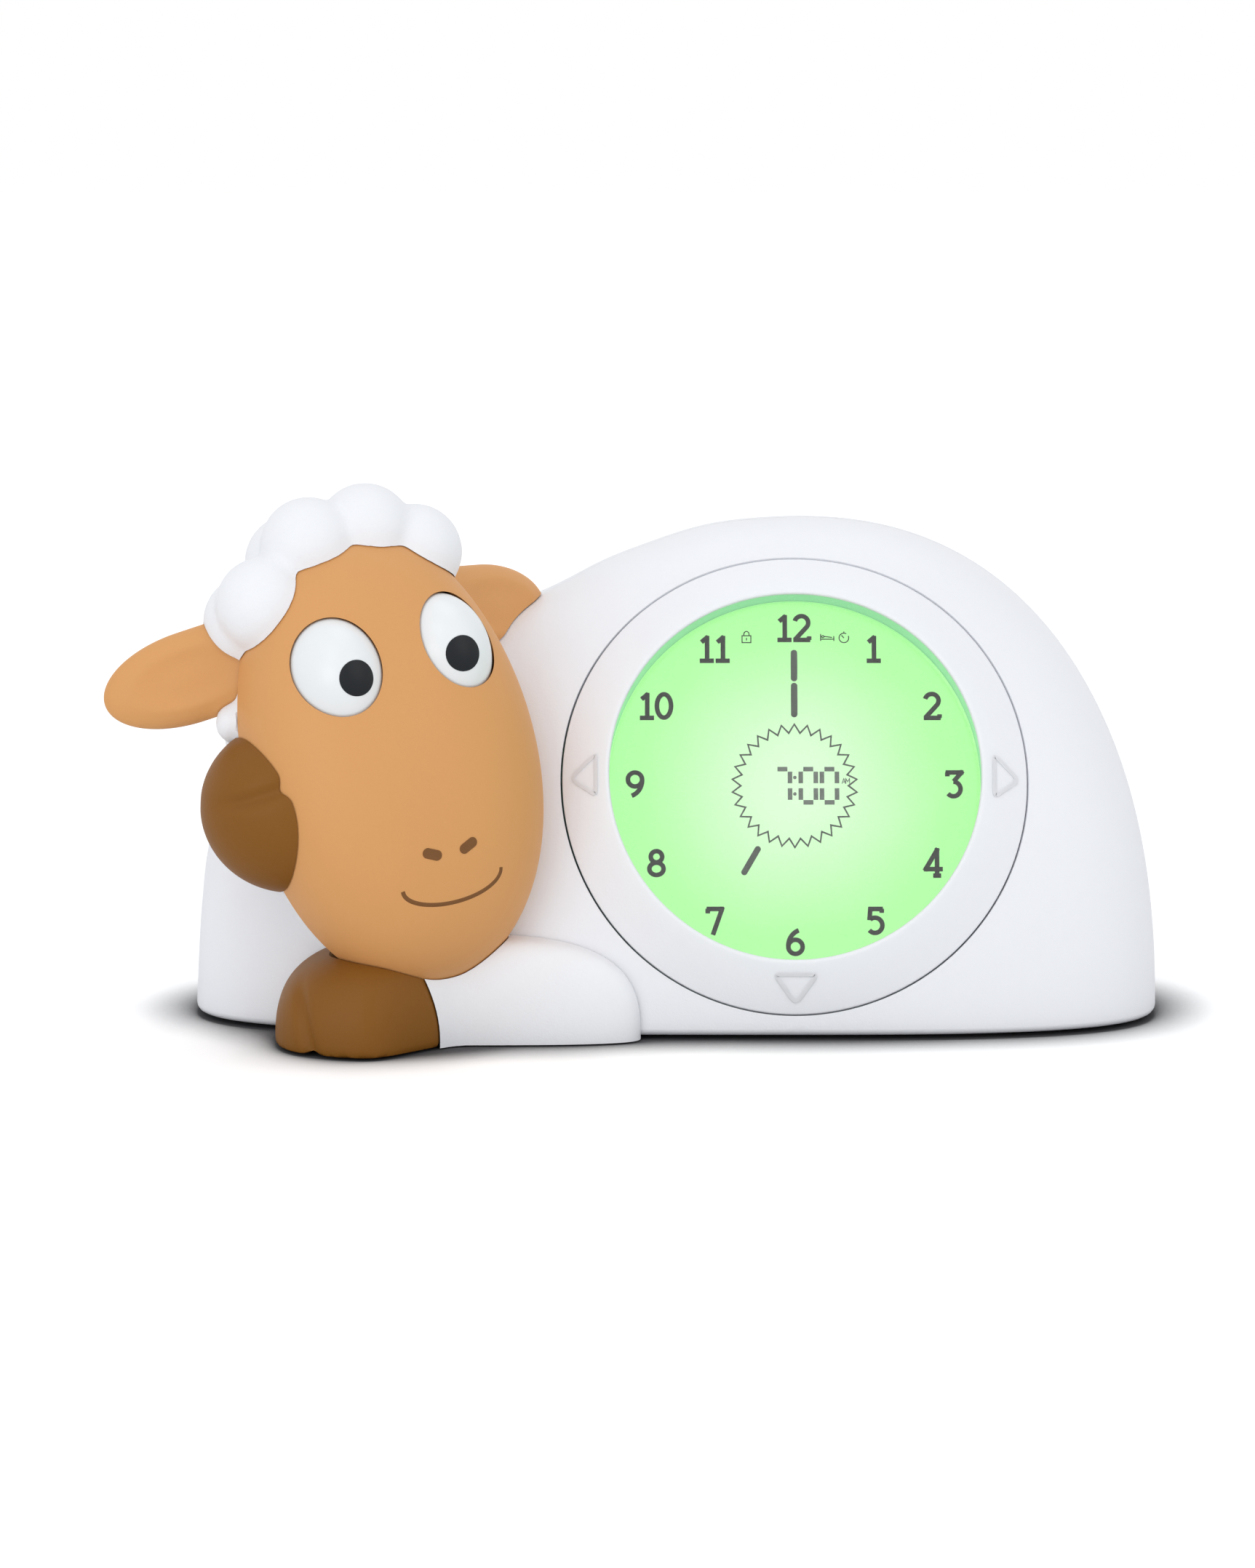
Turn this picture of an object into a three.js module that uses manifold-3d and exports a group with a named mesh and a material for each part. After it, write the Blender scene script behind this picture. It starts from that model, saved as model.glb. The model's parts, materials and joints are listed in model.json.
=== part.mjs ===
// A child's alarm clock with a night light. A sheep leans on a low dome, whose front holds a round lit dial
// inside a four-way control ring. The sheep's eyes are two lobes on one shaft, and a small motor turns them
// half a turn, between open eyes and closed lids.
// Millimetres, +Z up. The dial and the sheep look towards -Y.
import * as THREE from "three";
import { mergeVertices } from "three/addons/utils/BufferGeometryUtils.js";
import Module from "manifold-3d";

const wasm = await Module();
wasm.setup();

const half = 0.5;
const degree = Math.PI / 180;
const quarter = Math.PI * half;
const turn = Math.PI * 2;

// Fits shared by all pieces, and how far cutting tools run past what they cut
const seatGap = 0.3;
const runGap = 0.35;
const overrun = 6;
const reach = 150;

// Facets round a piece, from the finest rims to the smallest pegs
const rimSides = 36;
const wheelSides = 24;
const smallSides = 10;
const tinySides = 6;
const curveSteps = 240;
const almostTop = 0.9997;

// Points closer than this are one point
const weldGap = 0.0001;

const white = { color: 0xeef0f5, roughness: 0.42, metalness: 0 };
const tan = { color: 0xdca069, roughness: 0.5, metalness: 0 };
const brown = { color: 0x875619, roughness: 0.5, metalness: 0 };
const black = { color: 0x25282b, roughness: 0.45, metalness: 0 };
const steel = { color: 0xb8bcc0, roughness: 0.35, metalness: 0.9 };
const boardGreen = { color: 0x1f6b45, roughness: 0.6, metalness: 0 };
const rubberGrey = { color: 0x55585c, roughness: 0.9, metalness: 0 };
const glowGreen = { color: 0xb4ffa4, roughness: 0.3, metalness: 0 };
const clearPlastic = { color: 0xe8f4e8, roughness: 0.1, metalness: 0, transparent: true, opacity: 0.35 };
const gearCream = { color: 0xe7e2d2, roughness: 0.55, metalness: 0 };

// Dial and control ring, along an axis that leans back with the dome's front
const ringBore = 41.9;
const ringWidth = 10.4;
const ringRadius = ringBore + ringWidth;
const ringPocketGap = 0.5;
const ringBack = -8.3;
const ringRimWidth = 2.7;
const ringRimBack = -6.6;
const ringCrest = 3.5;
const tiltTravel = 1.05;
const dialX = 37.8;
const dialSink = 2.7;
const dialTilt = 19.8 * degree;

// Dome housing: the skin it leaves round the ring, and the lean of its upright middle
const footDrop = 1;
const ringStand = 6.4;
const domeCrown = 6.2;
const rightFlank = 31.4;
const leftFlank = 84.7;
const dialZ = footDrop + ringStand + ringRadius * Math.cos(dialTilt);
const domeHeight = dialZ - footDrop + ringRadius * Math.cos(dialTilt) + domeCrown;
const domeRight = ringRadius + rightFlank;
const domeLeft = ringRadius + leftFlank;
const domeFront = 37;
const domeBack = 37;
const domeLean = 18;
const domePower = 2.3;
const planPower = 3;
const footRound = 1.6;
const shellWall = 2.4;
const domeLevels = 8;
const domeSides = 32;
// How far the long flank reaches at each share of the height, as a share of domeLeft
const flankShares = [
  [0, 1],
  [0.2, 0.992],
  [0.35, 0.975],
  [0.5, 0.925],
  [0.62, 0.82],
  [0.72, 0.665],
  [0.78, 0.545],
  [0.843, 0.416],
  [0.902, 0.323],
  [0.94, 0.247],
  [0.973, 0.169],
  [0.99, 0.1],
  [1, 0],
];

// Well behind the ring, and the display in its middle
const ledgeDrop = 2.2;
const pocketWall = 1.8;
const cupWall = 1;
const cupGap = 0.7;
const cupLip = 0.8;
const cupFlange = 2.3;
const lensFront = -4.5;
const lensThick = 1.5;
const lcdThick = 2.2;
const lcdSides = 24;
const lcdMargin = 0.9;
const diffuserThick = 2.8;
const diffuserSkirt = 2;
const boardThick = 1.6;
const boardFlat = 3;
const boardFlatHalf = 17.4;
const ledSize = 3.6;
const ledHeight = 1.6;
const ledOrbit = 22;

// Gimbal that lets the ring rock both ways, and the switches under it
const pinRadius = 0.9;
const carrierInset = 1.1;
const carrierWidth = 2.7;
const carrierHeight = 2.6;
const lugThick = 1;
const lugWidth = 4.4;
const lugSkin = 0.6;
const pinProud = 0.18;
const switchDepth = 2.5;
const switchWidth = 3.8;
const plungerRadius = 0.9;
const switchBoardThick = 0.8;

// Base plate, battery bay, its door and the feet
const baseThick = 2.4;
const cellRadius = 7.1;
const cellLength = 48.4;
const cellRound = 0.7;
const cellNub = 1.2;
const cellNubRadius = 2.7;
const cellCount = 3;
const cellSides = 14;
const bayWall = 1.2;
const bayShift = 17.8;
const bayRearGap = 0.7;
const contactThick = 0.8;
const contactHeight = 11;
const doorThick = 1.8;
const doorLedge = 3;
const doorTongue = 9;
const doorSink = 0.9;
const doorScrewHead = 0.7;
const doorScrewLength = 6.7;
const footRadius = 5.5;
const footInset = 1.2;
const footShares = { left: -0.728, right: 0.6, front: -0.595, rear: 0.595 };

// Screws and their bosses, as shares of the dome's reach and height
const screwRadius = 1.5;
const screwHeadRadius = 2.9;
const screwHeadThick = 2;
const screwTopShare = 0.8;
const screwLength = 16;
const bossRadius = 4.6;
const bossFloor = 7;
const recessRadius = 3.4;
const bossShares = [
  [-0.874, 0.144],
  [0.79, 0.144],
  [-0.823, 0.495],
  [0.72, 0.55],
];

// Speaker, its grille and the power inlet in the back
const speakerAcrossShare = -0.685;
const speakerRiseShare = 0.333;
const speakerInset = 11.5;
const speakerRadius = 18;
const speakerRim = 2.1;
const speakerDust = 6.3;
const speakerCone = 3.5;
const speakerDepth = 7;
const speakerMagnet = 9;
const speakerMagnetDepth = 6;
const speakerRingWall = 1.6;
const grilleSlots = 6;
const grillePitch = 4.6;
const grilleSlotHeight = 2;
const grilleRadius = 15;
const inletAcrossShare = 0.6;
const inletRiseShare = 0.162;
const inletInset = 5.4;
const inletRadius = 3.3;
const inletWidth = 9;
const inletDepth = 13;
const inletBoreDepth = 9;
const inletWall = 1.6;

// Sheep's head: where it stands on the dome's front, and how it is turned
const headAcrossShare = -0.674;
const headRiseShare = 0.568;
const headStand = 14.6;
const headYaw = 26 * degree;
const headRoll = -13.5 * degree;
const headLean = -8 * degree;
const skullWide = 33.5;
const skullTall = 53;
const skullFront = 28;
const skullBack = 22;
const skullPower = 2.45;
const skullTaperShare = -0.05;
const skullLevels = 10;
const skullSides = 20;
const hollowLevels = 8;
const hollowSides = 14;
const skullWall = 2;
const faceSplit = 1;

// Wool: rows of round curls, each row at an angle from the crown towards the face
const curlRadius = 10.8;
const curlSink = 1.5;
const curlSides = 8;
const curlLevels = 6;
// Angles are shares of a quarter turn
const curlRowShares = [
  { tilt: 0.1, spread: [-0.45, -0.15, 0.13, 0.36] },
  { tilt: -0.22, spread: [-0.47, -0.16, 0.14, 0.36] },
  { tilt: -0.52, spread: [-0.38, -0.12, 0.12, 0.32] },
  { tilt: -0.84, spread: [-0.4, -0.1, 0.2] },
  { tilt: -1.16, spread: [-0.28, 0.12] },
];

// Ears
const earLong = 20.2;
const earWide = 10.3;
const earThick = 4.6;
const earRootX = 21;
const earRootY = 3;
const earRootZ = 28.5;
const earRootShare = 0.86;
const earSweep = 26 * degree;
const earDroop = 5 * degree;
const earSides = 14;
const earLevels = 10;

// Forelegs and hooves, placed from the head that rests on them
const legShift = 16.5;
const legForward = 5;
const legHalfLong = 41;
const legHalfDeep = 24.5;
const legHeight = 23.5;
const legLift = 0.4;
const legPower = 3;
// Behind the hoof the front of the foreleg draws back towards the dome
const legSlimShare = 0.68;
const legSlimFrom = -21;
const legSlimTo = 3;
const legLevels = 6;
const legSides = 24;
const hoofJoin = -3.5;
const cleftRadius = 4.4;
const cleftTopRadius = 1.8;
const cleftShift = 11;
const cleftInset = 1;
const cleftLean = 12 * degree;
const upperHoofShift = -22;
const upperHoofForward = 7;
const upperHoofDrop = 9.5;
const upperHoofWide = 18.5;
const upperHoofDeep = 16;
const upperHoofTall = 19;
const upperCleftRadius = 2.6;
const upperCleftShares = [0.35, 0.95];
const hoofSides = 14;
const hoofLevels = 10;

// Eye roller, about a shaft across the head
const eyeForward = 14.3;
const eyeHeight = 19;
const eyeRadius = 14;
const eyeHalfLong = 11;
const eyeSpread = 12.9;
const eyeInnerCut = 3.4;
const eyeGap = 0.5;
const eyeSides = 14;
const eyeLevels = 8;
const pupilRadius = 4;
const pupilProud = 0.12;
const pupilThick = 1.2;
const pupilDrop = 1;
const pupilSides = 20;
const shaftRadius = 1.5;
const shaftHalf = 13;

// Gears, motor and the bracket that holds them
const gearPitch = 2.513;
const gearTeeth = 16;
const idlerTeeth = 16;
const pinionTeeth = 8;
const bendTeeth = 2.5;
const gearThick = 2;
const toothRiseShare = 0.223;
const toothFallShare = 0.35;
const toothTipShare = 0.1;
const toothRootShare = 0.29;
const armThick = 1.4;
const armInner = 1.5;
const armHalfWide = 4.2;
const armSteps = 8;
const armFootThick = 1.6;
const armFootLong = 11;
const armFootLow = -5.8;
const armFootHigh = 10.8;
const idlerPinRadius = 1.2;
const motorRadius = 5;
const motorLength = 16;
const motorShaftRadius = 1;
const motorCapRadius = 2.4;
const motorCapLength = 1.2;
const motorSides = 20;
const bracketBossX = -7;
const bracketBossRise = [-2.4, 7.4];
const bracketBossRadius = 2.6;
const bracketScrewLength = 5;
const bracketScrewHead = 1.4;

// Screws that hold the head to the dome, as shares of the skull's size
const headScrewShares = [
  [-0.165, -0.113],
  [0.254, -0.49],
];
const headBossRadius = 4.2;
const headBossBack = 7;
const headBossFront = 6;

// A closed solid from a geometry, moved by a matrix, with its faces turned outwards.
function solid(geometry, matrix) {
  const copy = geometry.clone();
  for (const name of ["normal", "uv"]) {
    copy.deleteAttribute(name);
  }
  if (matrix) {
    copy.applyMatrix4(matrix);
  }
  const merged = mergeVertices(copy, weldGap);
  const triVerts = new Uint32Array(merged.index.array);
  const vertProperties = merged.getAttribute("position").array;
  const made = new wasm.Manifold(new wasm.Mesh({ numProp: 3, vertProperties, triVerts }));
  if (made.volume() >= 0) {
    return made;
  }
  for (let i = 0; i < triVerts.length; i += 3) {
    [triVerts[i + 1], triVerts[i + 2]] = [triVerts[i + 2], triVerts[i + 1]];
  }
  return new wasm.Manifold(new wasm.Mesh({ numProp: 3, vertProperties, triVerts }));
}

// The geometry of a solid, ready for a mesh.
function geometryOf(made) {
  const { numProp, vertProperties, triVerts } = made.getMesh();
  const count = vertProperties.length / numProp;
  const positions = new Float32Array(count * 3);
  for (let i = 0; i < count; i++) {
    positions.set(vertProperties.subarray(i * numProp, i * numProp + 3), i * 3);
  }
  const geometry = new THREE.BufferGeometry();
  geometry.setAttribute("position", new THREE.BufferAttribute(positions, 3));
  geometry.setIndex(new THREE.BufferAttribute(triVerts, 1));
  geometry.computeVertexNormals();
  return geometry;
}

const union = (parts) => parts.reduce((sum, part) => sum.add(part));

const cutAll = (made, tools) => tools.reduce((left, tool) => left.subtract(tool), made);

// The largest of a solid's separate bodies, which drops crumbs that a cut leaves.
const mainBody = (made) =>
  made.decompose().reduce((best, body) => (body.volume() > best.volume() ? body : best));

// A closed surface through rings of points, each ring in the same order, with a flat fan on both ends.
function loft(rings) {
  const sides = rings[0].length;
  const points = rings.flat();
  const middle = (ring) =>
    ring.reduce((sum, p) => sum.add(p), new THREE.Vector3()).divideScalar(ring.length);
  points.push(middle(rings[0]), middle(rings[rings.length - 1]));
  const index = [];
  for (let k = 0; k < rings.length - 1; k++) {
    for (let i = 0; i < sides; i++) {
      const a = k * sides + i;
      const b = k * sides + ((i + 1) % sides);
      index.push(a, b, b + sides, a, b + sides, a + sides);
    }
  }
  const last = (rings.length - 1) * sides;
  for (let i = 0; i < sides; i++) {
    const j = (i + 1) % sides;
    index.push(points.length - 2, j, i);
    index.push(points.length - 1, last + i, last + j);
  }
  return new THREE.BufferGeometry().setFromPoints(points).setIndex(index);
}

// A turned body about +Z from its half profile of [radius, height] pairs. A profile that doesn't start on the
// axis closes on itself.
function turned(profile, sides) {
  const open = profile[0][0] === 0;
  const points = (open ? profile : [...profile, profile[0]]).map((pair) => new THREE.Vector2(...pair));
  return new THREE.LatheGeometry(points, sides).rotateX(quarter);
}

const disc = (radius, low, high, sides) =>
  turned([[0, low], [radius, low], [radius, high], [0, high]], sides);

const tube = (inner, outer, low, high, sides) =>
  turned([[inner, low], [outer, low], [outer, high], [inner, high]], sides);

// A box from its two opposite corners.
function box(low, high) {
  const size = high.map((value, i) => value - low[i]);
  const centre = high.map((value, i) => (value + low[i]) * half);
  return new THREE.BoxGeometry(...size).translate(...centre);
}

// Geometries made about +Z, turned to lie along another axis.
const alongX = (geometry) => geometry.rotateY(quarter);
const alongY = (geometry) => geometry.rotateX(quarter);

const cylinderY = (radius, x, z, low, high, sides) =>
  alongY(disc(radius, -high, -low, sides)).translate(x, 0, z);

const roundPower = (value, power) => Math.sign(value) * Math.pow(Math.abs(value), 2 / power);

const fade = (share, power) => Math.pow(Math.max(0, 1 - Math.pow(share, power)), 1 / power);

// The points of a squared oval: each is a share of the reach to its side.
function squaredOval(sides, power) {
  return Array.from({ length: sides }, (_, i) => {
    const angle = (i / sides) * turn;
    return [roundPower(Math.cos(angle), power), roundPower(Math.sin(angle), power)];
  });
}

// The dome's long flank as a smooth curve of its reach against height.
const flankCurve = new THREE.SplineCurve(flankShares.map(([rise, out]) => new THREE.Vector2(rise, out)));
const flankPoints = flankCurve.getPoints(curveSteps);

function flankShare(rise) {
  const next = flankPoints.findIndex((p) => p.x >= rise);
  if (next <= 0) {
    return flankPoints[0].y;
  }
  const a = flankPoints[next - 1];
  const b = flankPoints[next];
  return Math.max(0, a.y + ((b.y - a.y) * (rise - a.x)) / (b.x - a.x));
}

// One level of the dome, with its own reach to each side of the dial's centre line.
function domeRing(rise, height, grow) {
  const shrink = fade(rise, domePower);
  const right = (domeRight + grow) * shrink;
  const left = (domeLeft + grow) * flankShare(rise);
  const front = (domeFront + grow) * shrink;
  const back = (domeBack + grow) * shrink;
  return squaredOval(domeSides, planPower).map(([x, y]) => {
    const across = dialX + x * (x > 0 ? right : left);
    return new THREE.Vector3(across, domeLean * rise + y * (y > 0 ? back : front), height);
  });
}

// The dome grown outwards or inwards. An open one runs down past the foot, to hollow the housing.
const domeStart = footDrop + footRound;
const domeRise = domeHeight - footRound;

function dome(grow, open) {
  const rings = [domeRing(0, open ? footDrop - overrun : footDrop, open ? grow : grow - footRound)];
  for (let k = 0; k <= domeLevels; k++) {
    const rise = Math.min(Math.sin((k / domeLevels) * quarter), almostTop);
    rings.push(domeRing(rise, domeStart + (domeRise + grow) * rise, grow));
  }
  return loft(rings);
}

// Where the dome's skin lies, in front or behind, at a place seen from the front.
function skinAt(x, z, reachOut) {
  const rise = Math.min(Math.max((z - domeStart) / domeRise, 0), almostTop);
  const shrink = fade(rise, domePower);
  const side = x > dialX ? domeRight * shrink : domeLeft * flankShare(rise);
  return domeLean * rise + reachOut * shrink * fade(Math.min(Math.abs(x - dialX) / side, 1), planPower);
}

const frontSkin = (x, z) => skinAt(x, z, -domeFront);
const rearSkin = (x, z) => skinAt(x, z, domeBack);

// Places seen from the front, from shares of the dome's reach to that side and of its height.
const domePlace = ([across, rise]) => [
  dialX + across * (across > 0 ? domeRight : domeLeft),
  footDrop + rise * domeHeight,
];

const seamAngle = Math.atan2(domeLean, domeHeight);
const seamDepth = (height) => ((height - footDrop) * domeLean) / domeHeight;

// Everything in front of the housing's leaning seam, or behind it.
function seamSide(front) {
  const edge = front ? -seatGap * half : seatGap * half;
  const far = front ? -reach : reach;
  const tool = box([-reach, Math.min(edge, far), -reach], [reach, Math.max(edge, far), reach]);
  return solid(tool.rotateX(-seamAngle).translate(0, 0, footDrop));
}

// The dial's own frame: +Z out of the clock's front, +Y up its leaning face.
const dialPlace = new THREE.Vector3(dialX, frontSkin(dialX, dialZ) + dialSink, dialZ);
const dialMatrix = new THREE.Matrix4().makeRotationX(quarter - dialTilt).setPosition(dialPlace);
const dialInverse = dialMatrix.clone().invert();
const halfTurn = new THREE.Matrix4().makeRotationZ(turn * half).toArray();

// The ring's pivot pins lie just far enough behind it for its travel, and the channel's floor behind them.
const lugHalf = pinRadius + runGap + lugSkin;
const pinLevel = ringBack - tiltTravel - seatGap - lugHalf;
const channelFloor = pinLevel - lugHalf - tiltTravel - seatGap;
const carrierInner = ringBore + carrierInset;
const carrierOuter = carrierInner + carrierWidth;
const lugInner = carrierOuter + runGap;
const switchInner = lugInner + lugThick + 2 * runGap;
const channelRadius = switchInner + switchDepth + runGap;
const pocketRadius = ringRadius + ringPocketGap;
const ledgeLevel = ringRimBack - ledgeDrop;
const cupOuter = ringBore - cupGap;
const cupInner = cupOuter - cupWall;
const floorHole = cupOuter + seatGap;
const floorBack = channelFloor - pocketWall;

// The stepped well that the ring sits in, as material and as the space inside it.
const pocketMaterial = (grow) =>
  turned(
    [
      [floorHole - grow, floorBack - grow],
      [channelRadius + pocketWall + grow, floorBack - grow],
      [channelRadius + pocketWall + grow, ledgeLevel - pocketWall - grow],
      [pocketRadius + pocketWall + grow, ledgeLevel - pocketWall - grow],
      [pocketRadius + pocketWall + grow, overrun * 2],
      [floorHole - grow, overrun * 2],
    ],
    rimSides,
  );

const pocketSpace = () =>
  turned(
    [
      [0, floorBack - overrun],
      [floorHole, floorBack - overrun],
      [floorHole, channelFloor],
      [channelRadius, channelFloor],
      [channelRadius, ledgeLevel],
      [pocketRadius, ledgeLevel],
      [pocketRadius, reach],
      [0, reach],
    ],
    rimSides,
  );

// The head stands off the dome's front skin.
const [headX, headZ] = domePlace([headAcrossShare, headRiseShare]);
const headY = frontSkin(headX, headZ) - headStand;

// Screws through the housing: their heads sit in recesses behind the seam.
const bossPlaces = bossShares.map(domePlace);
const screwSeat = (z) => seamDepth(z) + bossFloor;

// Screws through the dome's front into the head.
const headScrewPlaces = headScrewShares.map(([x, z]) => [headX + x * skullWide, headZ + z * skullTall]);
const headBossSeat = ([x, z]) => frontSkin(x, z) + headBossBack;
const headScrewTip = (place) => headBossSeat(place) - headBossBack - headBossFront;

// The shell of the dome with its screw bosses, before it is split along the seam.
function housing() {
  const shell = solid(dome(0, false)).subtract(solid(dome(-shellWall, true)));
  const bosses = bossPlaces.map(([x, z]) => solid(cylinderY(bossRadius, x, z, -reach, reach, smallSides)));
  const headBosses = headScrewPlaces.map(([x, z]) =>
    solid(cylinderY(headBossRadius, x, z, -reach, headBossSeat([x, z]), smallSides)),
  );
  const inside = solid(dome(-shellWall * half, false));
  return shell.add(union([...bosses, ...headBosses]).intersect(inside));
}

const housingWhole = housing();

const housingScrewHoles = () =>
  bossPlaces.map(([x, z]) => {
    const tip = screwSeat(z) - screwLength - seatGap;
    const hole = solid(cylinderY(screwRadius + seatGap, x, z, tip, screwSeat(z) + overrun, tinySides));
    const recess = solid(cylinderY(recessRadius, x, z, screwSeat(z), reach, smallSides));
    return hole.add(recess);
  });

const headScrewHole = (place) =>
  solid(cylinderY(screwRadius + seatGap, ...place, -reach, headBossSeat(place) + overrun, tinySides));

// Forks on the pocket floor that hold the carrier's two side pins.
function pivotPosts() {
  const low = [lugInner, -lugWidth * half, channelFloor - pocketWall * half];
  const post = solid(box(low, [lugInner + lugThick, lugWidth * half, pinLevel + lugHalf]));
  const bore = alongX(disc(pinRadius + runGap, -overrun, overrun, tinySides));
  const made = post.subtract(solid(bore.translate(lugInner, 0, pinLevel)));
  return solid(geometryOf(made.add(made.transform(halfTurn))), dialMatrix);
}

function frontShell() {
  const pocket = solid(pocketMaterial(0), dialMatrix).intersect(solid(dome(-shellWall * half, false)));
  const shell = housingWhole.intersect(seamSide(true)).add(pocket);
  const welled = shell.subtract(solid(pocketSpace(), dialMatrix)).add(pivotPosts());
  return mainBody(cutAll(welled, [...housingScrewHoles(), ...headScrewPlaces.map(headScrewHole)]));
}

const [speakerX, speakerZ] = domePlace([speakerAcrossShare, speakerRiseShare]);
const speakerFace = rearSkin(speakerX, speakerZ) - speakerInset;
const speakerOuter = speakerRadius + seatGap + speakerRingWall;

// Holes for the sound: slots that shorten towards the rim of a circle.
function grille() {
  return Array.from({ length: grilleSlots }, (_, i) => {
    const rise = (i - (grilleSlots - 1) * half) * grillePitch;
    const halfLength = Math.sqrt(Math.max(grilleRadius ** 2 - rise ** 2, grilleSlotHeight ** 2));
    const low = speakerZ + rise - grilleSlotHeight * half;
    const high = low + grilleSlotHeight;
    return solid(box([speakerX - halfLength, 0, low], [speakerX + halfLength, reach, high]));
  });
}

const [inletX, inletZ] = domePlace([inletAcrossShare, inletRiseShare]);
const inletFace = rearSkin(inletX, inletZ) - inletInset;

// A block as wide as the inlet and a margin on each side, between two depths.
function inletBlock(margin, low, high) {
  const side = inletWidth * half + margin;
  return solid(box([inletX - side, low, inletZ - side], [inletX + side, high, inletZ + side]));
}

function rearShell() {
  const inside = solid(dome(-shellWall * half, false));
  const front = speakerFace - speakerDepth;
  const ringBlank = tube(speakerRadius + seatGap, speakerOuter, -reach, -front, wheelSides);
  const speakerRing = solid(alongY(ringBlank).translate(speakerX, 0, speakerZ));
  const cradle = inletBlock(seatGap + inletWall, inletFace - inletDepth, reach);
  const added = speakerRing.add(cradle).intersect(inside);
  const inletSpace = inletBlock(seatGap, -reach, inletFace + seatGap);
  const inletHole = solid(cylinderY(inletRadius, inletX, inletZ, inletFace - overrun, reach, smallSides));
  const shell = housingWhole.intersect(seamSide(false)).add(added);
  return mainBody(cutAll(shell, [...housingScrewHoles(), ...grille(), inletSpace, inletHole]));
}

// The battery bay lies under the dial, against the rear wall.
const cellPitch = 2 * cellRadius + seatGap;
const bayX = dialX - bayShift;
const bayHalfX = cellLength * half + cellNub + contactThick + 2 * seatGap;
const bayHalfY = cellPitch * (cellCount - 1) * half + cellRadius + seatGap;
const bayY = domeBack - shellWall - seatGap - bayRearGap - bayWall - bayHalfY;
const cellZ = footDrop + doorThick + 2 * seatGap + cellRadius;
const bayTop = cellZ + cellRadius + seatGap;
const doorHalfX = bayHalfX + doorLedge;
const doorHalfY = bayHalfY - seatGap;
const doorScrewX = bayX + doorHalfX + doorTongue * half;
const plateTop = footDrop + baseThick;

const bayBox = (halfX, halfY, low, high) =>
  solid(box([bayX - halfX, bayY - halfY, low], [bayX + halfX, bayY + halfY, high]));

const footSpots = () => {
  const [left] = domePlace([footShares.left, 0]);
  const [right] = domePlace([footShares.right, 0]);
  const front = footShares.front * domeFront;
  const rear = footShares.rear * domeBack;
  return [[left, front], [right, front], [left, rear], [right, rear]];
};

// The tongue of the battery door, or the room for it, grown by a gap.
function doorTongueBox(grow, low, high) {
  const side = doorTongue * half + grow;
  const start = bayX + doorHalfX - doorLedge;
  return solid(box([start, bayY - side, low], [bayX + doorHalfX + doorTongue + grow, bayY + side, high]));
}

function basePlate() {
  const low = footDrop - overrun;
  const inset = -shellWall - seatGap;
  const sole = domeRing(0, footDrop, inset - footRound * half);
  const plate = solid(loft([sole, domeRing(0, plateTop, inset)]));
  const tub = bayBox(bayHalfX + bayWall, bayHalfY + bayWall, footDrop, bayTop + bayWall);
  const bossTop = plateTop + doorScrewLength;
  const bossRound = screwRadius + seatGap + bayWall;
  const boss = solid(disc(bossRound, footDrop, bossTop, smallSides)).translate([doorScrewX, bayY, 0]);
  const bay = bayBox(bayHalfX, bayHalfY, low, bayTop);
  const roomTop = footDrop + doorThick + seatGap;
  const doorRoom = bayBox(doorHalfX + seatGap, doorHalfY + seatGap, low, roomTop);
  const tongueRoom = doorTongueBox(seatGap, low, roomTop);
  const pilot = solid(disc(screwRadius + seatGap, low, bossTop - seatGap, tinySides));
  const wells = footSpots().map(([x, y]) =>
    solid(disc(footRadius + seatGap, low, footDrop + footInset, smallSides)).translate([x, y, 0]),
  );
  const dialRoom = solid(pocketMaterial(seatGap), dialMatrix);
  const cuts = [bay, doorRoom, tongueRoom, pilot.translate([doorScrewX, bayY, 0]), dialRoom, ...wells];
  return mainBody(cutAll(union([plate, tub, boss]), cuts));
}

function batteryDoor() {
  const plate = bayBox(doorHalfX, doorHalfY, footDrop, footDrop + doorThick);
  const tongue = doorTongueBox(0, footDrop, footDrop + doorThick);
  const sink = solid(disc(screwHeadRadius + seatGap, footDrop - overrun, footDrop + doorSink, smallSides));
  const hole = solid(disc(screwRadius + seatGap, footDrop - overrun, footDrop + overrun, tinySides));
  return plate.add(tongue).subtract(sink.add(hole).translate([doorScrewX, bayY, 0]));
}

// A screw that points along -Z from its head's underside at the origin.
function screw(length, headThick) {
  const profile = [
    [0, -length],
    [screwRadius, -length + screwRadius],
    [screwRadius, 0],
    [screwHeadRadius, 0],
    [screwHeadRadius, headThick * half],
    [screwHeadRadius * screwTopShare, headThick],
    [0, headThick],
  ];
  return turned(profile, tinySides);
}

function rubberFoot() {
  const top = footDrop + footInset - seatGap;
  const bevel = footDrop * half;
  const side = [[footRadius - bevel, 0], [footRadius, bevel], [footRadius, top]];
  return turned([[0, 0], ...side, [0, top]], smallSides);
}

// A cell along X with its raised end to the right.
function cell() {
  const end = cellLength * half;
  const profile = [
    [0, -end],
    [cellRadius, -end],
    [cellRadius, end - cellRound],
    [cellRadius - cellRound, end],
    [cellNubRadius, end],
    [cellNubRadius, end + cellNub],
    [0, end + cellNub],
  ];
  return alongX(turned(profile, cellSides));
}

function contactStrip(side) {
  const inner = bayHalfX - seatGap - contactThick;
  const plate = box(
    [side > 0 ? inner : -inner - contactThick, -bayHalfY + seatGap, -contactHeight * half],
    [side > 0 ? inner + contactThick : -inner, bayHalfY - seatGap, contactHeight * half],
  );
  return plate.translate(bayX, bayY, cellZ);
}

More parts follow.
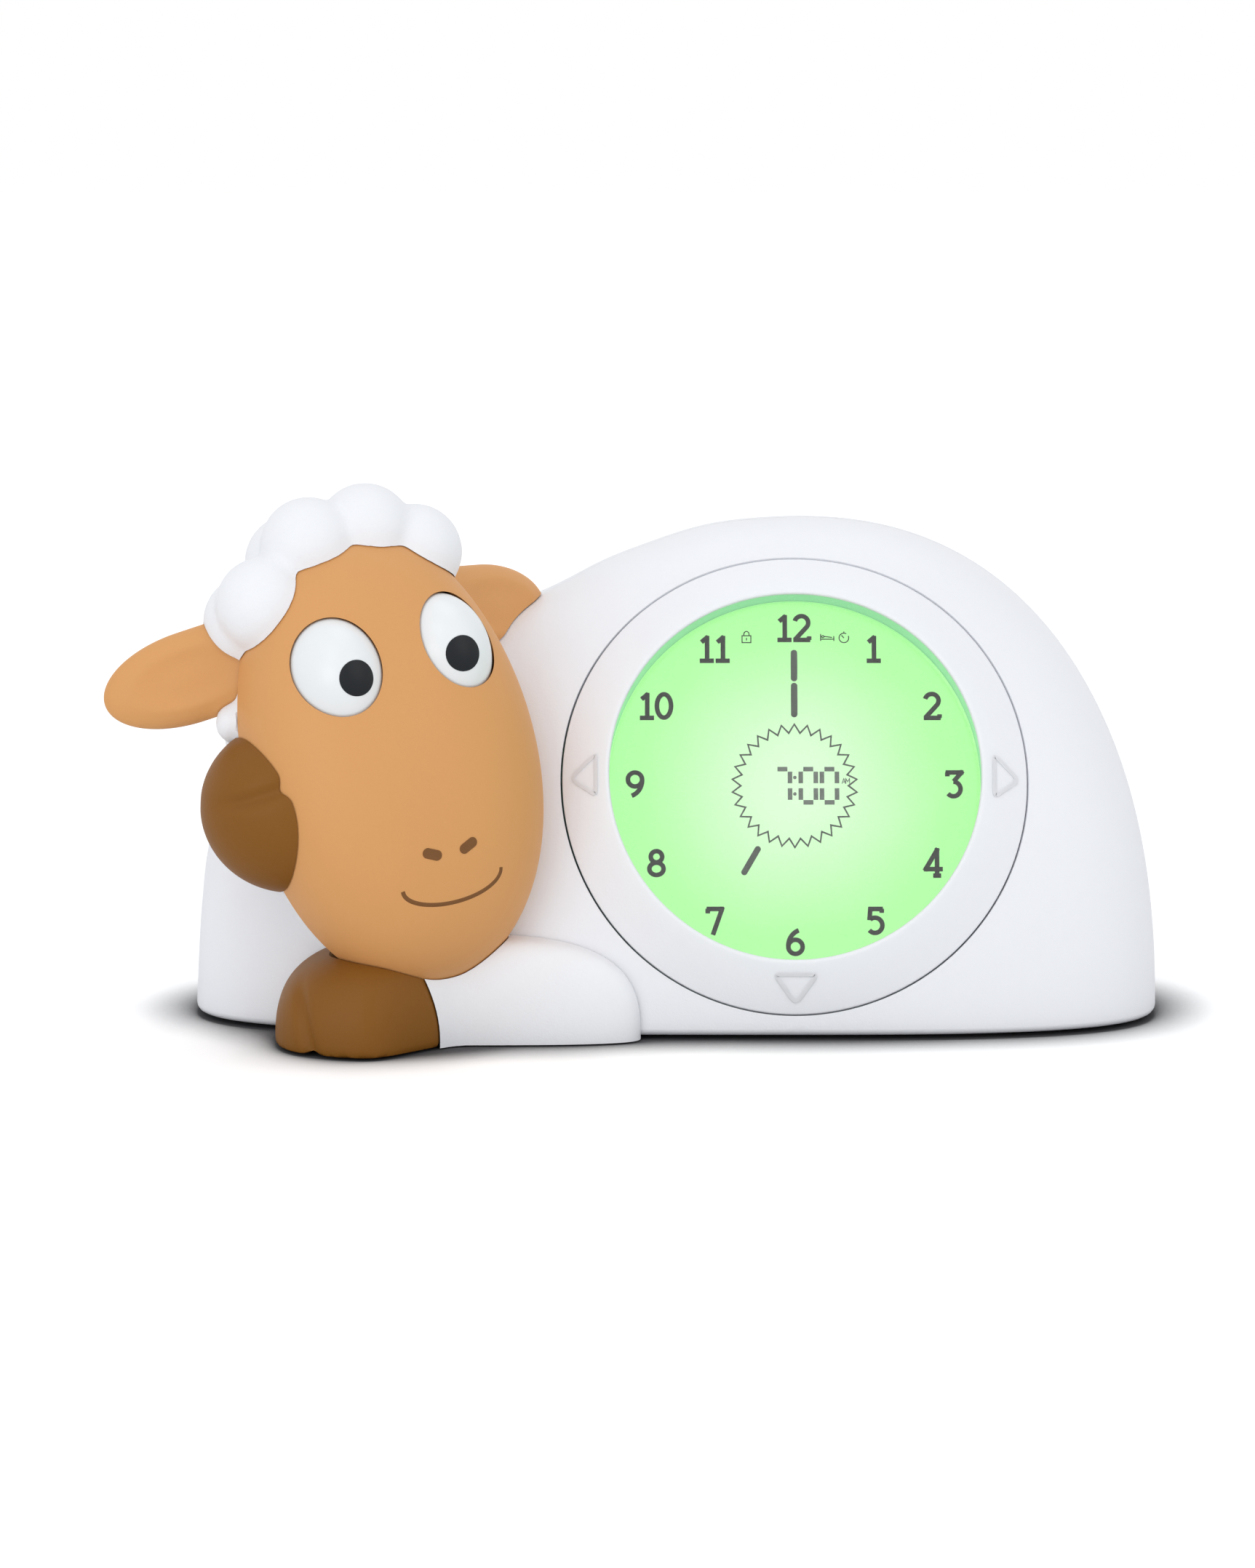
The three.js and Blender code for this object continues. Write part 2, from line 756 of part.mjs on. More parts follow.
// Ring: the dome's own skin between two circles, lifted a little towards the mouth, with two lugs behind.
function controlRing() {
  const rimInner = ringRadius - ringRimWidth;
  const blank = solid(
    turned(
      [
        [ringBore, ringBack],
        [rimInner, ringBack],
        [rimInner, ringRimBack],
        [ringRadius, ringRimBack],
        [ringRadius, reach],
        [ringBore, reach],
      ],
      rimSides,
    ),
  );
  const skin = geometryOf(blank.intersect(solid(dome(0, false), dialInverse)));
  const place = skin.getAttribute("position");
  for (let i = 0; i < place.count; i++) {
    const out = (Math.hypot(place.getX(i), place.getY(i)) - ringBore) / ringWidth;
    if (place.getZ(i) > ringRimBack + seatGap) {
      place.setZ(i, place.getZ(i) + ringCrest * (1 - Math.min(Math.max(out, 0), 1)));
    }
  }
  const low = [-lugWidth * half, lugInner, pinLevel - lugHalf];
  const lugBlank = solid(box(low, [lugWidth * half, lugInner + lugThick, ringBack + lugThick * half]));
  const bore = solid(alongY(disc(pinRadius + runGap, -reach, reach, tinySides)).translate(0, 0, pinLevel));
  const lug = lugBlank.subtract(bore);
  return union([solid(skin), lug, lug.transform(halfTurn)]);
}

function ringCarrier() {
  const low = pinLevel - carrierHeight * half;
  const band = solid(tube(carrierInner, carrierOuter, low, low + carrierHeight, wheelSides));
  const pinEnd = lugInner + lugThick + pinProud;
  const pins = [0, 1, 2, 3].map((quarters) => {
    const pin = alongX(disc(pinRadius, carrierOuter - carrierWidth * half, pinEnd, tinySides));
    return solid(pin.translate(0, 0, pinLevel).rotateZ(quarters * quarter));
  });
  return union([band, ...pins]);
}

const switchBoardTop = channelFloor + seatGap + switchBoardThick;

function switchBoard() {
  const low = channelFloor + seatGap;
  return tube(switchInner - seatGap * half, channelRadius - seatGap, low, switchBoardTop, wheelSides);
}

// A push switch with a smaller plunger on top, standing on the switch board.
function tactSwitch(quarters) {
  const top = ringBack - tiltTravel - seatGap;
  const low = switchBoardTop + seatGap;
  const shoulder = (top + low) * half;
  const side = switchWidth * half;
  const body = solid(box([switchInner, -side, low], [switchInner + switchDepth, side, shoulder]));
  const plunger = disc(plungerRadius, low, top, tinySides).translate(switchInner + switchDepth * half, 0, 0);
  return geometryOf(body.add(solid(plunger))).rotateZ(quarters * quarter);
}

// The sleeve round the dial's recess, with a flange behind the pocket's floor.
function displayCup() {
  const back = floorBack - seatGap;
  const profile = [
    [cupInner, back - cupWall],
    [cupOuter + cupFlange, back - cupWall],
    [cupOuter + cupFlange, back],
    [cupOuter, back],
    [cupOuter, cupLip],
    [cupInner, cupLip],
  ];
  return turned(profile, rimSides);
}

const windowRadius = cupInner - seatGap;
const lensBack = lensFront - lensThick;
const lcdFront = lensBack - seatGap;
const lcdBack = lcdFront - lcdThick;
const diffuserFront = lcdBack - seatGap;
const diffuserBack = diffuserFront - diffuserThick;
const boardFront = floorBack - 2 * seatGap - cupWall;

const dialLens = () => disc(windowRadius, lensBack, lensFront, rimSides);

const lcdPanel = () =>
  disc(windowRadius - lcdMargin, lcdBack, lcdFront, lcdSides).rotateZ((turn * half) / lcdSides);

// The light guide carries a skirt that reaches back over the lamps to the board.
function diffuser() {
  const profile = [
    [0, diffuserBack],
    [windowRadius - diffuserSkirt, diffuserBack],
    [windowRadius - diffuserSkirt, boardFront + seatGap],
    [windowRadius, boardFront + seatGap],
    [windowRadius, diffuserFront],
    [0, diffuserFront],
  ];
  return turned(profile, wheelSides);
}

function mainBoard() {
  const radius = cupOuter + cupFlange - seatGap;
  const plate = solid(disc(radius, boardFront - boardThick, boardFront, wheelSides));
  const low = [-boardFlatHalf, -radius - overrun, -reach];
  return plate.subtract(solid(box(low, [boardFlatHalf, boardFlat - radius, reach])));
}

function led() {
  const side = ledSize * half;
  return box([-side, -side, boardFront + seatGap], [side, side, boardFront + seatGap + ledHeight]);
}

// The speaker faces the back. Its cone is a shallow dish inside the rim.
function speaker() {
  const profile = [
    [0, -speakerDepth - speakerMagnetDepth],
    [speakerMagnet, -speakerDepth - speakerMagnetDepth],
    [speakerMagnet, -speakerDepth],
    [speakerRadius, -speakerRim],
    [speakerRadius, 0],
    [speakerRadius - speakerRim, 0],
    [speakerDust, -speakerCone],
    [0, -speakerCone],
  ];
  return turned(profile, wheelSides).rotateX(-quarter);
}

function inletSocket() {
  const side = inletWidth * half;
  const body = solid(box([-side, -inletDepth, -side], [side, 0, side]));
  return body.subtract(solid(cylinderY(inletRadius, 0, 0, -inletBoreDepth, overrun, smallSides)));
}

// The gear train runs back from the eye shaft to the idler, then bends up to the motor's pinion.
const pitchRadius = (teeth) => (teeth * gearPitch) / turn;
const toothStep = (teeth) => turn / teeth;
const idlerAt = pitchRadius(gearTeeth) + pitchRadius(idlerTeeth);
const trainBend = bendTeeth * toothStep(idlerTeeth);
const pinionReach = pitchRadius(idlerTeeth) + pitchRadius(pinionTeeth);
const pinionBack = idlerAt + pinionReach * Math.cos(trainBend);
const pinionRise = pinionReach * Math.sin(trainBend);

// The head, in its own frame: x across, y to the back, z up the long way of the face.
const headTurn = new THREE.Euler(headLean, headRoll, headYaw, "YXZ");
const headPlace = new THREE.Vector3(headX, headY, headZ);
const headMatrix = new THREE.Matrix4().makeRotationFromEuler(headTurn).setPosition(headPlace);
const headInverse = headMatrix.clone().invert();

function egg(grow, levels, sides) {
  const rings = [];
  for (let k = 1; k < levels; k++) {
    const rise = -Math.cos((k / levels) * turn * half);
    const shrink = Math.sqrt(1 - rise * rise);
    const wide = (skullWide * (1 + skullTaperShare * rise) + grow) * shrink;
    const front = (skullFront * (1 + skullTaperShare * rise) + grow) * shrink;
    const back = (skullBack + grow) * shrink;
    const level = (skullTall + grow) * rise;
    const ring = squaredOval(sides, skullPower);
    rings.push(ring.map(([x, y]) => new THREE.Vector3(x * wide, y * (y > 0 ? back : front), level)));
  }
  return solid(loft(rings));
}

const skull = (grow) => egg(grow, skullLevels, skullSides);
const skullHollow = () => egg(-skullWall, hollowLevels, hollowSides);
const insideSkull = () => egg(-skullWall * half, skullLevels, skullSides);

const headDome = (grow) => solid(dome(grow, false), headInverse);

const eyeCentre = new THREE.Vector3(0, -eyeForward, eyeHeight);

// One eye lobe, an oval turned about the shaft, grown by a gap where it only cuts its neighbours.
const eyeLobe = (side, grow) =>
  solid(
    new THREE.SphereGeometry(1, eyeSides, eyeLevels)
      .rotateZ(quarter)
      .scale(eyeHalfLong + grow, eyeRadius + grow, eyeRadius + grow)
      .translate(side * eyeSpread, 0, 0),
  );

const eyeRooms = () => [-1, 1].map((side) => eyeLobe(side, eyeGap).translate(eyeCentre.toArray()));

const frontOfFace = (edge) => solid(box([-reach, -reach, -reach], [reach, edge, reach]));

function faceShell() {
  const shell = skull(0).subtract(skullHollow()).intersect(frontOfFace(faceSplit));
  return mainBody(cutAll(shell, [...eyeRooms(), headDome(seatGap)]));
}

// Round curls in rows from the nape over the crown to the brow.
function curls(grow) {
  const made = [];
  for (const { tilt, spread } of curlRowShares) {
    for (const share of spread) {
      const flat = Math.cos(share * quarter);
      const forward = -flat * Math.sin(tilt * quarter);
      const deep = (forward > 0 ? skullBack : skullFront) - curlSink;
      const ball = new THREE.SphereGeometry(curlRadius + grow, curlSides, curlLevels);
      const across = Math.sin(share * quarter) * (skullWide - curlSink);
      const up = flat * Math.cos(tilt * quarter) * (skullTall - curlSink);
      made.push(solid(ball.translate(across, forward * deep, up)));
    }
  }
  return union(made);
}

const earMatrix = (side) =>
  new THREE.Matrix4()
    .makeTranslation(side * earRootX, earRootY, earRootZ)
    .multiply(new THREE.Matrix4().makeRotationZ(side * earSweep))
    .multiply(new THREE.Matrix4().makeRotationY(side * earDroop));

// A leaf-shaped ear, thin at its tip, with its root at the origin and its tip along +X or -X.
function earBlank(side, grow) {
  const leaf = new THREE.SphereGeometry(1, earSides, earLevels).rotateZ(quarter);
  leaf.scale(earLong + grow, earThick + grow, earWide + grow);
  leaf.translate(side * earLong * earRootShare, 0, 0);
  return solid(leaf, earMatrix(side));
}

const ear = (side) => mainBody(cutAll(earBlank(side, 0), [skull(seatGap), headDome(seatGap)]));

// Inside the wool shell, bosses take the screws of the eye bracket and those that come from the dome.
const bracketFootBack = pinionBack + motorRadius + seatGap + armFootThick;
const bracketFootFront = bracketFootBack - armFootThick;

const bracketRod = (rise, radius, low, high) =>
  solid(cylinderY(radius, bracketBossX, eyeHeight + rise, low - eyeForward, high - eyeForward, tinySides));

const headRod = (place, radius, tip, sides) =>
  solid(cylinderY(radius, ...place, headScrewTip(place) - tip, reach, sides), headInverse);

function woolShell() {
  const behind = faceSplit + seatGap;
  const back = skull(0).subtract(frontOfFace(behind));
  const faceRoom = skull(seatGap).intersect(frontOfFace(behind));
  const hollow = skullHollow().subtract(headDome(seatGap + skullWall));
  const bossStart = bracketFootBack + seatGap;
  const bosses = union([
    ...bracketBossRise.map((rise) => bracketRod(rise, bracketBossRadius, bossStart, reach)),
    ...headScrewPlaces.map((place) => headRod(place, headBossRadius, skullWall, smallSides)),
  ]).intersect(insideSkull());
  const pilots = [
    ...bracketBossRise.map((rise) =>
      bracketRod(rise, screwRadius + seatGap, bracketFootFront, bossStart + bracketScrewLength),
    ),
    ...headScrewPlaces.map((place) => headRod(place, screwRadius + seatGap, seatGap, tinySides)),
  ];
  const whole = union([back, curls(0)]).subtract(hollow).add(bosses);
  const ears = [-1, 1].map((side) => earBlank(side, seatGap));
  return mainBody(cutAll(whole, [faceRoom, headDome(seatGap), ...ears, ...eyeRooms(), ...pilots]));
}

// A spur gear about +Z. The first tooth points along +X, then turned by a phase.
function spurGear(teeth, bore, phase) {
  const pitch = pitchRadius(teeth);
  const root = pitch - gearPitch * toothFallShare;
  const tip = pitch + gearPitch * toothRiseShare;
  const corners = [
    [root, -toothRootShare],
    [tip, -toothTipShare],
    [tip, toothTipShare],
    [root, toothRootShare],
  ];
  const points = [];
  for (let i = 0; i < teeth; i++) {
    for (const [radius, share] of corners) {
      const angle = (i + share) * toothStep(teeth) + phase;
      points.push(new THREE.Vector2(Math.cos(angle) * radius, Math.sin(angle) * radius));
    }
  }
  const outline = new THREE.Shape(points);
  if (bore > 0) {
    outline.holes.push(new THREE.Path().absarc(0, 0, bore, 0, turn, true));
  }
  const gear = new THREE.ExtrudeGeometry(outline, {
    depth: gearThick,
    bevelEnabled: false,
    curveSegments: tinySides,
  });
  return gear.translate(0, 0, -gearThick * half);
}

// The gears stand across X: their own X runs to the back of the head and their own Y runs up.
const acrossX = (geometry) => geometry.rotateX(quarter).rotateZ(quarter);

const eyeGear = () => acrossX(spurGear(gearTeeth, shaftRadius + seatGap, 0));

const idlerGear = () =>
  acrossX(spurGear(idlerTeeth, idlerPinRadius + seatGap, (turn + toothStep(idlerTeeth)) * half));

function motorPinion() {
  const phase = trainBend + (turn + toothStep(pinionTeeth)) * half;
  const wheel = solid(acrossX(spurGear(pinionTeeth, 0, phase)));
  const end = armInner + armThick + 2 * seatGap + motorCapLength;
  return wheel.add(solid(alongX(disc(motorShaftRadius, -gearThick * half, end, tinySides))));
}

function eyeMotor() {
  const front = armInner + armThick + seatGap;
  const back = front + motorLength;
  const profile = [
    [0, front],
    [motorRadius, front],
    [motorRadius, back],
    [motorCapRadius, back],
    [motorCapRadius, back + motorCapLength],
    [0, back + motorCapLength],
  ];
  const well = alongX(disc(motorShaftRadius + seatGap, 0, front + motorCapLength + 2 * seatGap, tinySides));
  return solid(alongX(turned(profile, motorSides))).subtract(solid(well));
}

// Two side plates joined by a foot: they carry the eye shaft, the idler's pin and the motor.
function eyeBracket() {
  const plate = new THREE.Shape();
  plate.absarc(0, 0, armHalfWide, quarter, quarter + turn * half, false);
  plate.lineTo(bracketFootBack, -armHalfWide);
  plate.lineTo(bracketFootBack, armFootHigh);
  plate.lineTo(idlerAt, armFootHigh);
  plate.closePath();
  const arms = [-1, 1].map((side) => {
    const arm = new THREE.ExtrudeGeometry(plate, {
      depth: armThick,
      bevelEnabled: false,
      curveSegments: armSteps,
    });
    const middle = side * (armInner + armThick * half);
    return solid(acrossX(arm.translate(0, 0, -armThick * half)).translate(middle, 0, 0));
  });
  const footLow = [-armFootLong, bracketFootFront, armFootLow];
  const foot = solid(box(footLow, [armInner + armThick, bracketFootBack, armFootHigh]));
  const bores = [
    [0, 0, shaftRadius + runGap],
    [idlerAt, 0, idlerPinRadius + seatGap],
    [pinionBack, pinionRise, motorShaftRadius + seatGap],
  ].map(([y, z, radius]) => solid(alongX(disc(radius, -overrun, overrun, tinySides)).translate(0, y, z)));
  const screwHoles = bracketBossRise.map((rise) =>
    solid(cylinderY(screwRadius + seatGap, bracketBossX, rise, 0, bracketFootBack + overrun, tinySides)),
  );
  return cutAll(union([...arms, foot]), [...bores, ...screwHoles]);
}

const eyeShaft = () => alongX(disc(shaftRadius, -shaftHalf, shaftHalf, smallSides));

function idlerPin() {
  const end = armInner + armThick;
  return alongX(disc(idlerPinRadius, -end, end, tinySides)).translate(0, idlerAt, 0);
}

const pupilPlug = (side, radius) =>
  solid(cylinderY(radius, side * eyeSpread, -pupilDrop, -reach, 0, pupilSides));

// Half of a lobe: the front half carries the pupil, the back half is the closed lid.
function eyeHalf(side, front) {
  const edge = seatGap * half;
  const [near, far] = front ? [-reach, -edge] : [edge, reach];
  const keep = solid(box([-reach, near, -reach], [reach, far, reach]));
  const [left, right] = side > 0 ? [-reach, eyeInnerCut] : [-eyeInnerCut, reach];
  const flat = solid(box([left, -reach, -reach], [right, reach, reach]));
  const end = shaftHalf + seatGap;
  const bore = solid(alongX(disc(shaftRadius + seatGap, -end, end, smallSides)));
  const lobe = cutAll(eyeLobe(side, 0).intersect(keep), [flat, bore]);
  if (!front) {
    return lobe;
  }
  const pocket = pupilPlug(side, pupilRadius + seatGap).subtract(eyeLobe(side, -pupilThick - seatGap));
  return lobe.subtract(pocket);
}

const pupil = (side) =>
  pupilPlug(side, pupilRadius).subtract(eyeLobe(side, -pupilThick)).intersect(eyeLobe(side, pupilProud));

// A foreleg lying along the front: a long rounded mound, cut at the hoof.
const legX = headX + legShift;
const legY = headY - legForward;

function legMound() {
  const rings = [];
  const slim = (x) => {
    const share = Math.min(Math.max((x - legSlimFrom) / (legSlimTo - legSlimFrom), 0), 1);
    return 1 - legSlimShare * share * share * (3 - 2 * share);
  };
  for (let k = 0; k <= legLevels; k++) {
    const rise = Math.min(Math.sin((k / legLevels) * quarter), almostTop);
    const shrink = fade(rise, legPower);
    const level = legLift + (legHeight - legLift) * rise;
    const [long, deep] = [legHalfLong * shrink, legHalfDeep * shrink];
    const ring = squaredOval(legSides, legPower);
    rings.push(
      ring.map(([x, y]) => {
        const across = x * long;
        const along = y * deep * (y < 0 ? slim(across) : 1);
        return new THREE.Vector3(legX + across, legY + along, level);
      }),
    );
  }
  return solid(loft(rings));
}

const legPart = (low, high) => solid(box([low, -reach, -reach], [high, reach, reach]));

// What the sheep's limbs leave free: the skull, the wool and the dome.
const limbCuts = () => [
  solid(geometryOf(skull(seatGap)), headMatrix),
  solid(geometryOf(curls(seatGap * 2)), headMatrix),
  solid(dome(seatGap, true)),
];

const foreleg = () =>
  mainBody(cutAll(legMound(), [legPart(-reach, legX + hoofJoin + seatGap), ...limbCuts()]));

function lowerHoof() {
  const groove = new THREE.CylinderGeometry(cleftTopRadius, cleftRadius, legHeight + overrun * 2, tinySides);
  groove.rotateX(quarter + cleftLean);
  groove.translate(legX - legHalfLong + cleftShift, legY - legHalfDeep + cleftInset, legHeight * half);
  return mainBody(cutAll(legMound(), [legPart(legX + hoofJoin, reach), solid(groove), ...limbCuts()]));
}

function upperHoof() {
  const pad = new THREE.SphereGeometry(1, hoofSides, hoofLevels);
  const [x, z] = [headX + upperHoofShift, headZ - upperHoofDrop];
  pad.scale(upperHoofWide, upperHoofDeep, upperHoofTall).translate(x, headY - upperHoofForward, z);
  const [right, up] = upperCleftShares;
  const groove = alongY(disc(upperCleftRadius, -reach, reach, tinySides));
  groove.translate(x + upperHoofWide * right, 0, z + upperHoofTall * up);
  return mainBody(cutAll(solid(pad), [solid(groove), ...limbCuts()]));
}

function mesh(name, shape, finish) {
  const geometry = geometryOf(shape.isBufferGeometry ? solid(shape) : shape);
  const made = new THREE.Mesh(geometry, new THREE.MeshStandardMaterial(finish));
  made.name = name;
  return made;
}

// A mesh set at a place in its group.
function placed(made, x, y, z) {
  made.position.set(x, y, z);
  return made;
}

function dialGroup() {
  const group = new THREE.Group();
  group.position.copy(dialPlace);
  group.rotation.x = quarter - dialTilt;
  group.add(
    mesh("control_ring", controlRing(), white),
    mesh("ring_carrier", ringCarrier(), gearCream),
    mesh("switch_board", switchBoard(), boardGreen),
    mesh("display_cup", displayCup(), glowGreen),
    mesh("dial_lens", dialLens(), clearPlastic),
    mesh("lcd_panel", lcdPanel(), glowGreen),
    mesh("light_diffuser", diffuser(), glowGreen),
    mesh("main_board", mainBoard(), boardGreen),
  );
  ["right", "top", "left", "bottom"].forEach((word, quarters) => {
    group.add(mesh("tact_switch_" + word, tactSwitch(quarters), black));
    const angle = (quarters + half) * quarter;
    const lamp = mesh("led_" + (quarters + 1), led(), glowGreen);
    group.add(placed(lamp, Math.cos(angle) * ledOrbit, Math.sin(angle) * ledOrbit, 0));
  });
  return group;
}

function eyeGroup() {
  const eyes = new THREE.Group();
  eyes.position.copy(eyeCentre);
  for (const [word, side] of [["left", -1], ["right", 1]]) {
    eyes.add(
      mesh(word + "_eye_white", eyeHalf(side, true), white),
      mesh(word + "_eyelid", eyeHalf(side, false), tan),
      mesh(word + "_pupil", pupil(side), black),
    );
  }
  eyes.add(
    mesh("eye_shaft", eyeShaft(), steel),
    mesh("eye_gear", eyeGear(), gearCream),
    placed(mesh("idler_gear", idlerGear(), gearCream), 0, idlerAt, 0),
    mesh("idler_pin", idlerPin(), steel),
    placed(mesh("motor_pinion", motorPinion(), gearCream), 0, pinionBack, pinionRise),
    placed(mesh("eye_motor", eyeMotor(), steel), 0, pinionBack, pinionRise),
    mesh("eye_bracket", eyeBracket(), gearCream),
  );
  bracketBossRise.forEach((rise, n) => {
    const shape = screw(bracketScrewLength, bracketScrewHead).rotateX(quarter);
    const made = mesh("bracket_screw_" + (n + 1), shape, steel);
    eyes.add(placed(made, bracketBossX, bracketFootFront - seatGap, rise));
  });
  return eyes;
}

function headGroup() {
  const group = new THREE.Group();
  group.position.copy(headPlace);
  group.rotation.copy(headTurn);
  group.add(
    mesh("face_shell", faceShell(), tan),
    mesh("wool_shell", woolShell(), white),
    mesh("left_ear", ear(-1), tan),
    mesh("right_ear", ear(1), tan),
    eyeGroup(),
  );
  return group;
}

function baseGroup() {
  const group = new THREE.Group();
  group.add(
    mesh("base_plate", basePlate(), white),
    mesh("battery_door", batteryDoor(), white),
    mesh("contact_strip_left", contactStrip(-1), steel),
    mesh("contact_strip_right", contactStrip(1), steel),
  );
  const doorScrew = screw(doorScrewLength - seatGap, doorScrewHead).rotateX(turn * half);
  group.add(placed(mesh("door_screw", doorScrew, steel), doorScrewX, bayY, footDrop + doorSink - seatGap));
  for (let i = 0; i < cellCount; i++) {
    const made = mesh("battery_" + (i + 1), i % 2 ? cell().rotateZ(turn * half) : cell(), boardGreen);
    group.add(placed(made, bayX, bayY + (i - (cellCount - 1) * half) * cellPitch, cellZ));
  }
  footSpots().forEach(([x, y], i) => {
    group.add(placed(mesh("rubber_foot_" + (i + 1), rubberFoot(), rubberGrey), x, y, 0));
  });
  return group;
}

function housingGroup() {
  const group = new THREE.Group();
  group.add(
    mesh("front_shell", frontShell(), white),
    mesh("rear_shell", rearShell(), white),
    placed(mesh("speaker", speaker(), black), speakerX, speakerFace, speakerZ),
    placed(mesh("power_inlet", inletSocket(), black), inletX, inletFace, inletZ),
    mesh("foreleg", foreleg(), white),
    mesh("lower_hoof", lowerHoof(), brown),
    mesh("upper_hoof", upperHoof(), brown),
  );
  bossPlaces.forEach(([x, z], i) => {
    const shape = screw(screwLength, screwHeadThick).rotateX(-quarter);
    group.add(placed(mesh("housing_screw_" + (i + 1), shape, steel), x, screwSeat(z) + seatGap, z));
  });
  headScrewPlaces.forEach(([x, z], i) => {
    const shape = screw(headBossBack + headBossFront, screwHeadThick).rotateX(-quarter);
    group.add(placed(mesh("head_screw_" + (i + 1), shape, steel), x, headBossSeat([x, z]) + seatGap, z));
  });
  return group;
}

// The whole clock, with its origin under the middle of everything.
const inner = new THREE.Group();
inner.add(housingGroup(), baseGroup(), dialGroup(), headGroup());
const bounds = new THREE.Box3().setFromObject(inner, true);
const middle = bounds.getCenter(new THREE.Vector3());
inner.position.set(-middle.x, -middle.y, -bounds.min.z);
const clock = new THREE.Group();
clock.add(inner);

export default clock;
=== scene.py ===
"""The looks of a child's alarm clock: a low white dome with a round lit dial, and a sheep that leans on it.

Everything is worked out in millimetres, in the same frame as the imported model, and scaled to metres at the end.
"""

import bisect
import json
import math

import bmesh
import bpy
from mathutils import Matrix, Vector


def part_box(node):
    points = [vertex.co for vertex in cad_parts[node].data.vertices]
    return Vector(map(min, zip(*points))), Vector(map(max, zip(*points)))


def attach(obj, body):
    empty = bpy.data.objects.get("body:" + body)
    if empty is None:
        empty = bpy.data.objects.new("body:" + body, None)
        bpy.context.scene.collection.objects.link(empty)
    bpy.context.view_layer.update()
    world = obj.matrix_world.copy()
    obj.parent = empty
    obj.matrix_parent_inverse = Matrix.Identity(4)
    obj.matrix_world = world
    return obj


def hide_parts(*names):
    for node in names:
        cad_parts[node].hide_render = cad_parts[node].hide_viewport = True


bl_info = {
    "name": "Sheep alarm clock",
    "version": (1, 0, 0),
    "blender": (4, 5, 0),
    "location": "3D View > Sidebar > Clock",
    "description": "Builds the visible pieces of a child's alarm clock around its packed frame",
    "category": "Add Mesh",
}

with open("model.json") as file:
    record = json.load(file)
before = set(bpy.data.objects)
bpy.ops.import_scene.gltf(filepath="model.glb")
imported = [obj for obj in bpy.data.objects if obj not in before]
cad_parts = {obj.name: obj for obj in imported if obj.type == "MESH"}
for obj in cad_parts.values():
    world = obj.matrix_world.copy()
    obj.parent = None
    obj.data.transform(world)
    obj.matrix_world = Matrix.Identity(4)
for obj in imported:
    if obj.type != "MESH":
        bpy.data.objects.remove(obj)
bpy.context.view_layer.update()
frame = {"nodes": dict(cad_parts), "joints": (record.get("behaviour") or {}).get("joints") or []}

MM = 0.001
QUARTER = math.pi / 2
TURN = math.tau

# Dome housing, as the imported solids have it
DOME_RIGHT = 83.7
DOME_LEFT = 137.0
DOME_DEEP = 37.0
DOME_LEAN = 18.0
DOME_POWER = 2.3
PLAN_POWER = 3.0
FOOT_DROP = 1.0
FOOT_ROUND = 1.6
DOME_START = FOOT_DROP + FOOT_ROUND
DOME_RISE = 109.416
DOME_HEIGHT = DOME_RISE + FOOT_ROUND
# How far the long flank reaches at each share of the height, as a share of DOME_LEFT
FLANK_SHARES = (
    (0, 1), (0.2, 0.992), (0.35, 0.975), (0.5, 0.925), (0.62, 0.82), (0.72, 0.665), (0.78, 0.545),
    (0.843, 0.416), (0.902, 0.323), (0.94, 0.247), (0.973, 0.169), (0.99, 0.1), (1, 0),
)

# Dial and ring, along an axis that leans back
RING_BORE = 41.9
RING_WIDTH = 10.4
POCKET_GAP = 0.15
RING_RADIUS = 52.5
RING_EDGE = 0.3
RING_LIP = 1.4
RING_HOLLOW = 44.2
# The mouth sits a little high in the ring, and the panel a little lower behind it
MOUTH_RISE = 1.1
PANEL_RISE = 0.4
RING_BACK = -8.3
RING_RIM_BACK = -6.6
RING_RIM_WIDTH = 2.7
POCKET_RADIUS = RING_RADIUS + POCKET_GAP
LEDGE_LEVEL = -8.8
CHANNEL_RADIUS = 50.6
CHANNEL_FLOOR = -14.7
FLOOR_HOLE = 41.5
DIAL_TILT = math.radians(19.8)
DIAL_SINK = 2.7
# No edge of the opening for the ring lies deeper than this below the dial's plane
HOLE_DEEPEST = -20.0
CUP_OUTER = 41.2
CUP_INNER = 40.2
CUP_BACK = -17.8
CUP_FLANGE = 2.3
BELL_OUTER = 42.9
BELL_INNER = 42.3
BELL_BACK = -9.2
BELL_GAP = 1.65
WINDOW_RADIUS = 42.2
LENS_BACK = -6.0
LENS_FRONT = -4.5
LCD_BACK = -8.5
LCD_FRONT = -6.3
LCD_RADIUS = 42.2
PRINT_RISE = 0.06

# Sheep's head, in its own frame: x across, y to the back, z up the face
SKULL_WIDE = 33.5
SKULL_TALL = 53.0
SKULL_FRONT = 28.0
SKULL_BACK = 22.0
SKULL_POWER = 2.45
SKULL_TAPER = -0.05
SKULL_WALL = 2.0
FACE_SPLIT = 1.0
HEAD_ANGLES = (-8.0, -13.5, 26.0)
EYE_CENTRE = Vector((0, -14.3, 19))
EYE_RADII = Vector((11, 14, 14))
EYE_SPREAD = 12.9
EYE_INNER_CUT = 3.4
EYE_GAP = 0.5
PUPIL_RADIUS = 4.0
PUPIL_DROP = 1.0
PUPIL_PROUD = 0.12
SHAFT_RADIUS = 1.5
NOSE_RISE = -30.0
MOUTH_HALF = 12.0
MOUTH_SAG = 5.0

SEAT_GAP = 0.3


